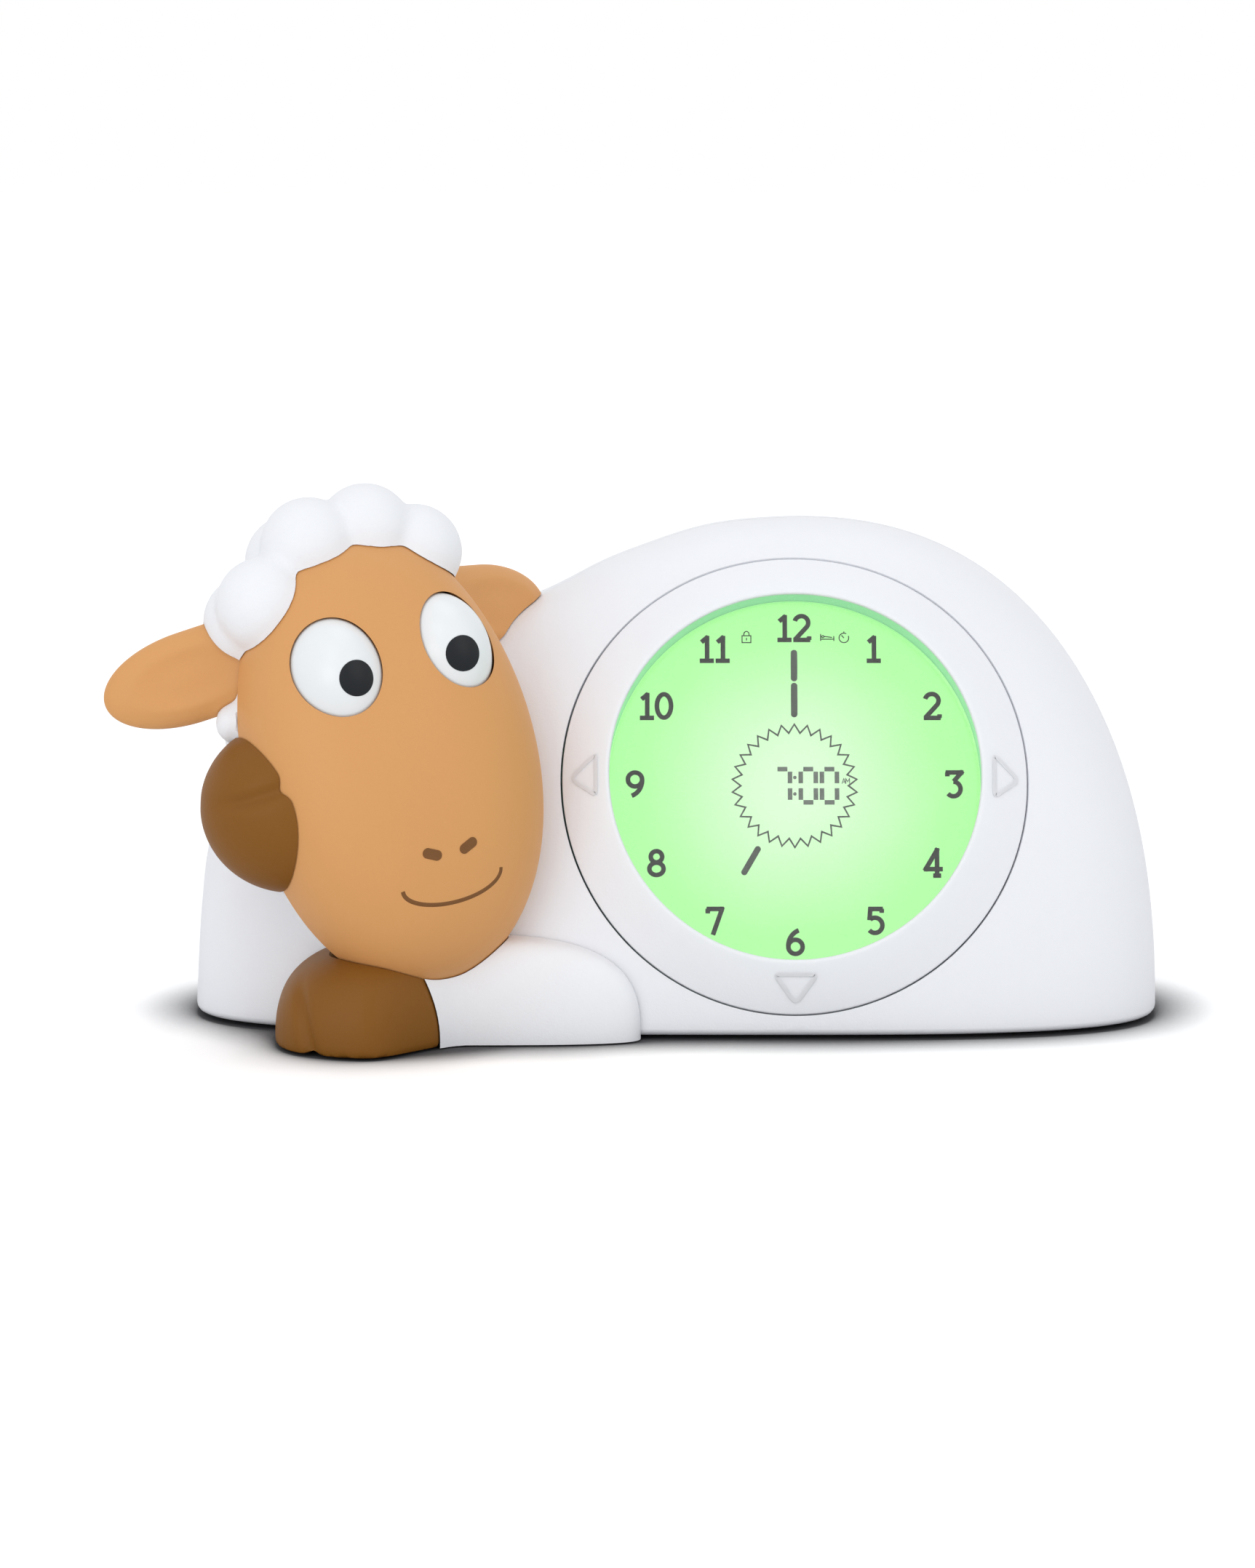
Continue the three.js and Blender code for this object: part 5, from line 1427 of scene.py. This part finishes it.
    def time(self):
        ink = print_ink("segment print", tuple(colours().segment_soft))
        wide, high, line, gap = 4.45, 8.7, 1.04, 0.12
        across, up = (wide - line) / 2, (high - line) / 2
        forms = []
        for centre, lit in ((-2.75, "abc"), (3.1, "abcdef"), (7.9, "abcdef")):
            segments = {
                "a": (0, up, wide - line, False), "d": (0, -up, wide - line, False),
                "b": (across, up / 2, up, True), "c": (across, -up / 2, up, True),
                "e": (-across, -up / 2, up, True), "f": (-across, up / 2, up, True),
            }
            for key in lit:
                x, y, long, upright = segments[key]
                forms.append(bar(centre + x, y, long - gap, line, upright, PRINT_RISE))
        for y in (-1.9, 1.9):
            forms.append(bar(0.05, y, 0.8, 0.79, False, PRINT_RISE, 20))
        small = written("AM", 1.25, 0.2, PRINT_RISE)
        forms.append(moved(small, Matrix.Translation((11.6, 1.1, 0))))
        self.show(forms, "dial_time", ink)

    def signs(self):
        """A padlock, a bed and a timer above the toothed ring."""
        ink = print_ink("numeral print", tuple(colours().segment))
        lock = [
            ([(-1, -1.1), (1, -1.1), (1, 0.5), (-1, 0.5)], True),
            ([(-0.6, 0.5)] + arc(0, 0.8, 0.6, 0.7, 180, 0, 10) + [(0.6, 0.5)], False),
            ([(0, -0.6), (0, 0)], False),
        ]
        bed = [
            ([(-1.5, -0.7), (-1.5, 0.9)], False), ([(1.5, -0.7), (1.5, 0.4)], False),
            ([(-1.5, -0.3), (1.5, -0.3)], False),
            ([(-0.8, 0.35), (1.1, 0.1)], False), (arc(-1.0, 0.3, 0.25, 0.25, 0, 340, 10), True),
        ]
        timer = [
            (arc(0, 0, 1.1, 1.1, 60, 400, 22)[:-1], False), ([(0, 0), (-0.55, 0.6)], False),
            ([(0, 1.1), (0, 1.5)], False),
        ]
        forms = []
        for strokes, x, y in ((lock, -10.8, 33.8), (bed, 7.6, 33.8), (timer, 11.4, 33.8)):
            forms.append(moved(pen(strokes, 0.24, PRINT_RISE), Matrix.Translation((x, y, 0))))
        self.show(forms, "dial_signs", ink, -0.1)


class CLOCK_OT_head(ClockOperator, bpy.types.Operator):
    """Make the sheep's face, ears and wool"""

    bl_idname = "clock.head"
    bl_label = "Head"

    def make(self):
        self.face()
        self.ears()
        self.wool()

    def face(self):
        bm = ball(160, 128, lambda x, y, rise: egg_point(x, y, rise, 0))
        sliced(bm, (0, FACE_SPLIT, 0), (0, 1, 0))
        bm = walled(bm, SKULL_WALL)
        moved(bm, HEAD_MATRIX)
        bm = cut(bm, eye_room(-1), eye_room(1), dome_solid(SEAT_GAP))
        piece(main_form(bm), "sheep_face", "housing", face_tan(), "face_tan", "face_shell", sharp=40)
        self.face_print()

    def face_print(self):
        """Two small nostrils and a gentle line of a mouth, printed on the face."""
        forms = [
            pen(
                [(arc(0, NOSE_RISE, MOUTH_HALF, MOUTH_SAG, 180, 360, 40), False)], mm(sizes().print_line), 0.1
            )
        ]
        for side in (-1, 1):
            nostril = bar(0, 0, 4.6, 2.3, False, 0.1, 40)
            bmesh.ops.subdivide_edges(
                nostril, edges=[e for e in nostril.edges if e.calc_length() > 1], cuts=3
            )
            bmesh.ops.triangulate(nostril, faces=nostril.faces)
            turned = moved(nostril, Matrix.Rotation(side * math.radians(24), 4, "Z"))
            forms.append(moved(turned, Matrix.Translation((side * 4.4, NOSE_RISE + 6.5, 0))))
        bm = joined(forms)
        for vert in bm.verts:
            x, z, rise = vert.co
            vert.co = (x, face_skin(x, z) - rise, z)
        ink = print_ink("face print", tuple(colours().face_print))
        piece(moved(bm, HEAD_MATRIX), "sheep_face_print", "housing", ink, "face_tan", weighted=False)

    def ears(self):
        cup = mm(sizes().ear_cup)
        for side, word in ((-1, "left"), (1, "right")):
            bm = cut(ear_blank(side, 0, cup), egg(-EAR_SINK), dome_solid(SEAT_GAP))
            piece(
                main_form(bm), f"sheep_ear_{word}", "housing", face_tan(), "face_tan", f"{word}_ear", sharp=40
            )

    def wool(self):
        forms = curls(0) + [egg(-0.6)]
        bm = remeshed(joined(forms), mm(sizes().wool_voxel), 4)
        behind = FACE_SPLIT + SEAT_GAP
        face_room = ball(96, 72, lambda x, y, rise: egg_point(x, y, rise, SEAT_GAP))
        bmesh.ops.bisect_plane(
            face_room, geom=face_room.verts[:] + face_room.edges[:] + face_room.faces[:],
            plane_co=(0, behind, 0), plane_no=(0, 1, 0), clear_outer=True,
        )
        bmesh.ops.holes_fill(face_room, edges=[e for e in face_room.edges if e.is_boundary], sides=0)
        moved(face_room, HEAD_MATRIX)
        hollow = egg(-SKULL_WALL, 64, 48)
        cutters = [face_room, hollow, dome_solid(SEAT_GAP)]
        cutters += [ear_blank(side, SEAT_GAP) for side in (-1, 1)]
        bm = cut(bm, *cutters)
        piece(main_form(bm), "sheep_wool", "housing", wool_white(), "wool_white", "wool_shell", sharp=50)


class CLOCK_OT_eyes(ClockOperator, bpy.types.Operator):
    """Make the eyes: white fronts, lids behind and pupils"""

    bl_idname = "clock.eyes"
    bl_label = "Eyes"

    def make(self):
        white = moulded(
            "eye white plastic", tuple(colours().eye), roughness=0.3, bump=0.00004, drift=0.2, dust=0.0
        )
        black = moulded(
            "satin black plastic", tuple(colours().pupil), roughness=0.35, bump=0.00003, dust=0.0,
            Specular_IOR_Level=0.25
        )
        matrix = HEAD_MATRIX @ Matrix.Translation(EYE_CENTRE)
        for side, word in ((-1, "left"), (1, "right")):
            front = moved(self.half(side, -1), matrix)
            lid = moved(self.half(side, 1), matrix)
            dot = moved(self.pupil(side), matrix)
            piece(front, f"eye_white_{word}", "eye_roller", white, "eye_white", f"{word}_eye_white", sharp=50)
            piece(lid, f"eye_lid_{word}", "eye_roller", face_tan(), "face_tan", f"{word}_eyelid", sharp=50)
            piece(dot, f"eye_pupil_{word}", "eye_roller", black, "pupil_black", f"{word}_pupil", sharp=50)

    def half(self, side, back):
        """Half of an eye lobe about the shaft: the front half for back -1, the lid for back 1."""
        edge = SEAT_GAP / 2
        bm = oval(EYE_RADII, (side * EYE_SPREAD, 0, 0), 96, 64)
        near, far = (-40, -edge) if back < 0 else (edge, 40)
        left, right = (EYE_INNER_CUT, 40) if side > 0 else (-40, -EYE_INNER_CUT)
        bm = kept(bm, block((left, near, -40), (right, far, 40)))
        bore = moved(rod(SHAFT_RADIUS + SEAT_GAP, -13.3, 13.3, 32), Matrix.Rotation(QUARTER, 4, "Y"))
        tools = [bore]
        if back < 0:
            tools.append(self.plug(side, PUPIL_RADIUS + SEAT_GAP * 0.4, 1.4, -3))
        return cut(bm, *tools)

    def lobe_front(self, x, z):
        share = 1 - (x / EYE_RADII.x) ** 2 - (z / EYE_RADII.z) ** 2
        return -EYE_RADII.y * math.sqrt(max(share, 0))

    def plug(self, side, radius, deep, proud):
        """A round plug that follows the lobe's front, from proud of it to deep behind it."""
        rings = [(radius * k / 8, 0) for k in range(9)] + [(radius, 1)]
        rings += [(radius * k / 4, 1) for k in (3, 2, 1, 0)]
        bm = spun([(r, level) for r, level in rings], 64)
        for vert in bm.verts:
            x, z = vert.co.x, vert.co.y - PUPIL_DROP
            y = self.lobe_front(x, z) + (deep if vert.co.z > 0.5 else proud)
            vert.co = (x + side * EYE_SPREAD, y, z)
        bmesh.ops.recalc_face_normals(bm, faces=bm.faces)
        return bm

    def pupil(self, side):
        return self.plug(side, PUPIL_RADIUS, 1.0, -PUPIL_PROUD)


class CLOCK_OT_limbs(ClockOperator, bpy.types.Operator):
    """Make the foreleg and the two hooves"""

    bl_idname = "clock.limbs"
    bl_label = "Foreleg and hooves"

    def make(self):
        self.leg()
        self.lower_hoof()
        self.upper_hoof()

    def leg(self):
        bm = cut(leg_mound(), hoof_end(SEAT_GAP / 2), *limb_cutters())
        piece(main_form(bm), "sheep_foreleg", "housing", wool_white(), "wool_white", "foreleg", sharp=40)

    def lower_hoof(self):
        bm = kept(leg_mound(), hoof_end(-SEAT_GAP / 2))
        bm = remeshed(bm, 0.9, 2)
        deep = mm(sizes().hoof_groove)
        groove(
            bm, (LEG_X - LEG_LONG + 8.5, LEG_Y - LEG_DEEP + 2, 1), (1, -0.2, 0.3), (-3, 2, 11), deep * 0.85,
            1.5
        )
        bm = cut(bm, *limb_cutters())
        piece(
            main_form(bm), "sheep_hoof_lower", "housing", hoof_brown(), "hoof_brown", "lower_hoof", sharp=40
        )

    def upper_hoof(self):
        centre = HEAD_PLACE + Vector((-20.3, -10.5, -9.8))
        bm = oval((20.2, 18, 19.3), centre, 192, 144)
        deep = mm(sizes().hoof_groove)
        groove(bm, centre + Vector((-10.7, -15, 3.3)), (-0.35, 0, 1), (13, 3, 7.5), deep, 1.8)
        groove(bm, centre + Vector((1.3, -14, 9.3)), (1, 0, 0.2), (-1, 3, 10), deep * 0.8, 1.5)
        bm = cut(bm, *limb_cutters())
        piece(
            main_form(bm), "sheep_hoof_upper", "housing", hoof_brown(), "hoof_brown", "upper_hoof", sharp=40
        )


class CLOCK_OT_fittings(ClockOperator, bpy.types.Operator):
    """Make the rubber feet, the screws that show and the power socket"""

    bl_idname = "clock.fittings"
    bl_label = "Feet, screws and socket"

    def make(self):
        for n in range(1, 5):
            low, high = (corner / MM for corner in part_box(f"rubber_foot_{n}"))
            self.foot((low + high) / 2, high.z, n)
            low, high = (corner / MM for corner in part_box(f"housing_screw_{n}"))
            middle = (low + high) / 2
            turned = Matrix.Rotation(-QUARTER, 4, "X") @ Matrix.Rotation(0.7 * n, 4, "Z")
            place = Matrix.Translation((middle.x, high.y, middle.z)) @ turned
            self.screw(place, 16.0, 2.0, f"screw_housing_{n}", f"housing_screw_{n}")
        low, high = (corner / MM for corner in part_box("door_screw"))
        middle = (low + high) / 2
        place = Matrix.Translation((middle.x, middle.y, low.z)) @ Matrix.Rotation(math.pi, 4, "X")
        self.screw(place, 6.4, 0.7, "screw_door", "door_screw")
        self.socket()

    def foot(self, middle, top, n):
        """A round rubber foot with a soft edge and a shallow hollow below."""
        radius, deep = 5.5, 0.5
        edge = [
            (radius - deep * (1 - math.sin(a)), deep * (1 - math.cos(a))) for a in (0, 0.4, 0.8, 1.2, QUARTER)
        ]
        profile = [(0, 0.35), (2.2, 0.35), (2.9, 0.1), (3.3, 0)] + edge + [(radius, top), (0, top)]
        bm = moved(spun(profile, 64), Matrix.Translation((middle.x, middle.y, 0)))
        rubber = moulded(
            "grey rubber", (0.085, 0.09, 0.1, 1), (0.12, 0.125, 0.13, 1), 0.85, 0.08, 1500, 0.0003, 0.8, 0.25
        )
        piece(bm, f"foot_{n}", "housing", rubber, "foot_rubber", f"rubber_foot_{n}")

    def screw(self, place, long, thick, name, stands_for):
        """A pan-head screw with a cross recess: its head's top at the origin, its shank down -Z."""
        head, shank = 2.9, 1.5
        crown = [
            (0, 0), (head * 0.45, -0.04), (head * 0.8, -thick * 0.28), (head * 0.97, -thick * 0.6),
            (head, -thick)
        ]
        under = [(shank, -thick)]
        turns = int((long - 2) / 0.9)
        for k in range(turns):
            level = -thick - 0.9 * (k + 0.4)
            under += [(shank, level), (shank - 0.35, level - 0.35)]
        under += [(shank - 0.2, -thick - long + 1.2), (0, -thick - long)]
        bm = spun(crown + under, 48)
        deep = min(1.1, thick * 0.7)
        arms = [block((-1.5, -0.32, -deep), (1.5, 0.32, 1)), block((-0.32, -1.5, -deep), (0.32, 1.5, 1))]
        bm = cut(bm, *arms)
        piece(moved(bm, place), name, "housing", steel(), "steel", stands_for, sharp=30)

    def socket(self):
        """The power socket: a squared body with a round bore and a pin in its middle."""
        low, high = (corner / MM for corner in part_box("power_inlet"))
        middle = (low + high) / 2
        body = block(low, high)
        bmesh.ops.bevel(
            body, geom=body.edges[:], offset=0.5, segments=3, profile=0.5, affect="EDGES", material=-1
        )
        bore = spun([(0, -9), (2.75, -9), (2.75, -0.6), (3.3, 0.05), (3.3, 4), (0, 4)], 64)
        place = Matrix.Translation((middle.x, high.y, middle.z))
        bm = cut(body, moved(bore, place @ Matrix.Rotation(-QUARTER, 4, "X")))
        black = moulded(
            "black moulded plastic", (0.018, 0.019, 0.02, 1), (0.03, 0.03, 0.032, 1), 0.4, dust=0.08
        )
        piece(bm, "socket_body", "housing", black, "switch_black", "power_inlet", sharp=35)
        pin = spun([(0, -9.2), (0.95, -9.2), (0.95, -2.4), (0.6, -1.6), (0, -1.5)], 40)
        piece(
            moved(pin, place @ Matrix.Rotation(-QUARTER, 4, "X")), "socket_pin", "housing", steel(), "steel"
        )


class CLOCK_OT_inner(ClockOperator, bpy.types.Operator):
    """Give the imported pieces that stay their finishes"""

    bl_idname = "clock.inner"
    bl_label = "Inner pieces"

    def make(self):
        gear = moulded(
            "cream gear plastic", (0.78, 0.74, 0.62, 1), (0.7, 0.65, 0.52, 1), 0.5, 0.08, 2600, 0.0001, 0.6
        )
        black = moulded(
            "black moulded plastic", (0.018, 0.019, 0.02, 1), (0.03, 0.03, 0.032, 1), 0.4, dust=0.08
        )
        glow = glowing(
            "lit diffuser", tuple(colours().dial_middle), tuple(colours().dial_edge), 44.0, 0.8,
            (0.5, 0.7, 0.5, 1)
        )
        lamp = moulded("lamp yellow", (0.85, 0.82, 0.5, 1), roughness=0.3, dust=0.0, Emission_Strength=1.2)
        lamp.node_tree.nodes["Principled BSDF"].inputs["Emission Color"].default_value = (0.55, 1, 0.5, 1)
        finishes = {
            "housing_white": housing_white(), "gear_plastic": gear, "switch_black": black,
            "glow_plastic": glow,
            "lamp": lamp, "steel": steel(), "circuit_board": circuit_board(), "battery": cell_jacket(),
            "paper": moulded(
                "speaker paper", (0.03, 0.03, 0.032, 1), (0.05, 0.05, 0.05, 1), 0.9, 0.1, 900, 0.0004, 1
            ),
        }
        kinds = (
            ("base_plate", "housing_white"), ("battery_door", "housing_white"), ("battery_", "battery"),
            ("contact_strip", "steel"), ("screw", "steel"), ("light_diffuser", "glow_plastic"),
            ("board", "circuit_board"), ("led_", "lamp"), ("tact_switch", "switch_black"),
            ("speaker", "paper"),
            ("eye_bracket", "gear_plastic"), ("eye_motor", "steel"), ("idler_pin", "steel"),
            ("eye_shaft", "steel"),
            ("gear", "gear_plastic"), ("pinion", "gear_plastic"), ("ring_carrier", "gear_plastic"),
        )
        for name, part in frame["nodes"].items():
            if part.hide_render:
                continue
            finish = next((finishes[kind] for word, kind in kinds if word in name), None)
            if finish is None:
                raise ValueError(f"{name} has no finish")
            part.material_slots[0].material = finish


# How much of white the floor adds of itself where the camera sees it, near the clock and far off, in metres
FLOOR_NEAR = 0.3
FLOOR_FAR = 0.45
NEAR_REACH = 0.25
FAR_REACH = 0.9
FLOOR_HALF = 3.0
# The soft dark shadow where the clock meets the floor: how far it reaches, and the openness at its two ends
CONTACT_REACH = 0.021
CONTACT_DARK = 0.52
CONTACT_CLEAR = 0.95
CAMERA_LENS = 130.9
CAMERA_SENSOR = 36.0
CAMERA_RISE = math.radians(9.5)
CAMERA_AWAY = 1.3
CAMERA_CLIP = 20
# The point that the camera looks at, from the dial's and the dome's middle, and the lamps' own target in metres
LOOK_LEFT = 37.8
LOOK_FORWARD = 10
LOOK_HEIGHT = 54
LAMP_TARGET = Vector((0, 0, 0.05))
WORLD_STRENGTH = 0.8


class CLOCK_OT_stage(ClockOperator, bpy.types.Operator):
    """Make the camera, the floor, the lamps and the world"""

    bl_idname = "clock.stage"
    bl_label = "Stage"

    def make(self):
        scene = bpy.context.scene
        scene.view_settings.view_transform = "Standard"
        self.camera(scene)
        self.floor()
        self.lamps()
        self.world(scene)

    def camera(self, scene):
        data = bpy.data.cameras.new("camera")
        data.sensor_fit = "AUTO"
        data.sensor_width = CAMERA_SENSOR
        data.lens = CAMERA_LENS
        data.clip_end = CAMERA_CLIP
        camera = bpy.data.objects.new("camera", data)
        target = Vector((DIAL.x - LOOK_LEFT, DOME_Y - LOOK_FORWARD, LOOK_HEIGHT)) * MM
        back = Vector((0, -math.cos(CAMERA_RISE), math.sin(CAMERA_RISE)))
        camera.location = target + back * CAMERA_AWAY
        camera.rotation_euler = (QUARTER - CAMERA_RISE, 0, 0)
        scene.collection.objects.link(camera)
        scene.camera = camera

    def floor(self):
        bm = bmesh.new()
        bmesh.ops.create_grid(bm, x_segments=8, y_segments=8, size=FLOOR_HALF)
        mesh = bpy.data.meshes.new("floor")
        bm.to_mesh(mesh)
        bm.free()
        floor = bpy.data.objects.new("floor", mesh)
        bpy.context.scene.collection.objects.link(floor)
        made = bpy.data.materials.new("pale floor")
        made.use_nodes = True
        tree = made.node_tree
        shader = tree.nodes["Principled BSDF"]
        shader.inputs["Roughness"].default_value = 0.9
        shader.inputs["Specular IOR Level"].default_value = 0.0
        shader.inputs["Emission Color"].default_value = (1, 1, 1, 1)
        place = node(tree, "ShaderNodeTexCoord")
        far = node(tree, "ShaderNodeVectorMath", operation="LENGTH")
        link(tree, place.outputs["Object"], far.inputs[0])
        lift = node(
            tree, "ShaderNodeMapRange", From_Min=NEAR_REACH, From_Max=FAR_REACH, To_Min=FLOOR_NEAR,
            To_Max=FLOOR_FAR
        )
        link(tree, far.outputs["Value"], lift.inputs["Value"])
        # Painted shadow: ambient occlusion darkens the floor's colour and its own white glow near the clock.
        closeness = node(tree, "ShaderNodeAmbientOcclusion", samples=16, Distance=CONTACT_REACH)
        contact = node(
            tree, "ShaderNodeMapRange", From_Min=CONTACT_DARK, From_Max=CONTACT_CLEAR, To_Min=0.0, To_Max=1.0
        )
        link(tree, closeness.outputs["AO"], contact.inputs["Value"])
        painted_shadow_mix = node(tree, "ShaderNodeMix", data_type="RGBA")
        painted_shadow_mix.inputs[6].default_value = (0.1, 0.1, 0.105, 1)
        painted_shadow_mix.inputs[7].default_value = (0.88, 0.88, 0.88, 1)
        link(tree, contact.outputs["Result"], painted_shadow_mix.inputs["Factor"])
        link(tree, painted_shadow_mix.outputs[2], shader.inputs["Base Color"])
        path = node(tree, "ShaderNodeLightPath")
        seen = node(tree, "ShaderNodeMath", operation="MULTIPLY")
        link(tree, path.outputs["Is Camera Ray"], seen.inputs[0])
        link(tree, lift.outputs["Result"], seen.inputs[1])
        lit = node(tree, "ShaderNodeMath", operation="MULTIPLY")
        link(tree, seen.outputs[0], lit.inputs[0])
        link(tree, contact.outputs["Result"], lit.inputs[1])
        link(tree, lit.outputs[0], shader.inputs["Emission Strength"])
        mesh.materials.append(made)

    def lamps(self):
        spots = (
            ("key lamp", (-0.55, -1.1, 1.25), 0.9, 1.9),
            ("fill lamp", (0.9, -0.9, 0.7), 1.0, 1.7),
            ("low lamp", (-0.75, -1.2, 0.28), 0.8, 3.0),
            ("top lamp", (0.1, 0.3, 1.5), 1.0, 1.8),
        )
        for name, place, size, power in spots:
            data = bpy.data.lights.new(name, "AREA")
            data.shape = "DISK"
            data.size = size
            data.energy = power
            lamp = bpy.data.objects.new(name, data)
            lamp.location = place
            aim = LAMP_TARGET - Vector(place)
            lamp.rotation_euler = aim.to_track_quat("-Z", "Y").to_euler()
            bpy.context.scene.collection.objects.link(lamp)

    def world(self, scene):
        world = bpy.data.worlds.new("studio")
        world.use_nodes = True
        scene.world = world
        tree = world.node_tree
        light = tree.nodes["Background"]
        light.inputs["Color"].default_value = (0.96, 0.975, 1.0, 1)
        light.inputs["Strength"].default_value = WORLD_STRENGTH
        white = node(tree, "ShaderNodeBackground", Strength=1.0)
        white.inputs["Color"].default_value = (1, 1, 1, 1)
        path = node(tree, "ShaderNodeLightPath")
        seen = node(tree, "ShaderNodeMath", operation="MAXIMUM")
        link(tree, path.outputs["Is Camera Ray"], seen.inputs[0])
        link(tree, path.outputs["Is Transmission Ray"], seen.inputs[1])
        either = node(tree, "ShaderNodeMath", operation="MAXIMUM")
        link(tree, seen.outputs[0], either.inputs[0])
        link(tree, path.outputs["Is Glossy Ray"], either.inputs[1])
        mix = node(tree, "ShaderNodeMixShader")
        link(tree, either.outputs[0], mix.inputs[0])
        link(tree, light.outputs[0], mix.inputs[1])
        link(tree, white.outputs[0], mix.inputs[2])
        link(tree, mix.outputs[0], tree.nodes["World Output"].inputs["Surface"])


class CLOCK_PT_panel(bpy.types.Panel):
    """Lists the clock's operators and settings."""

    bl_idname = "CLOCK_PT_panel"
    bl_label = "Sheep alarm clock"
    bl_space_type = "VIEW_3D"
    bl_region_type = "UI"
    bl_category = "Clock"

    def draw(self, context):
        for kind in OPERATORS:
            self.layout.operator(kind.bl_idname)
        for group in (context.scene.clock_sizes, context.scene.clock_colours):
            for name in group.__annotations__:
                self.layout.prop(group, name)


OPERATORS = (
    CLOCK_OT_stage,
    CLOCK_OT_dome,
    CLOCK_OT_ring,
    CLOCK_OT_display,
    CLOCK_OT_head,
    CLOCK_OT_eyes,
    CLOCK_OT_limbs,
    CLOCK_OT_fittings,
    CLOCK_OT_inner,
)
CLASSES = (ClockSizes, ClockColours, *OPERATORS, CLOCK_PT_panel)


def register():
    for kind in CLASSES:
        bpy.utils.register_class(kind)
    bpy.types.Scene.clock_sizes = bpy.props.PointerProperty(type=ClockSizes)
    bpy.types.Scene.clock_colours = bpy.props.PointerProperty(type=ClockColours)


def unregister():
    del bpy.types.Scene.clock_colours
    del bpy.types.Scene.clock_sizes
    for kind in reversed(CLASSES):
        bpy.utils.unregister_class(kind)


def main():
    register()
    for kind in OPERATORS:
        group, name = kind.bl_idname.split(".")
        getattr(getattr(bpy.ops, group), name)()


if __name__ == "__main__":
    main()
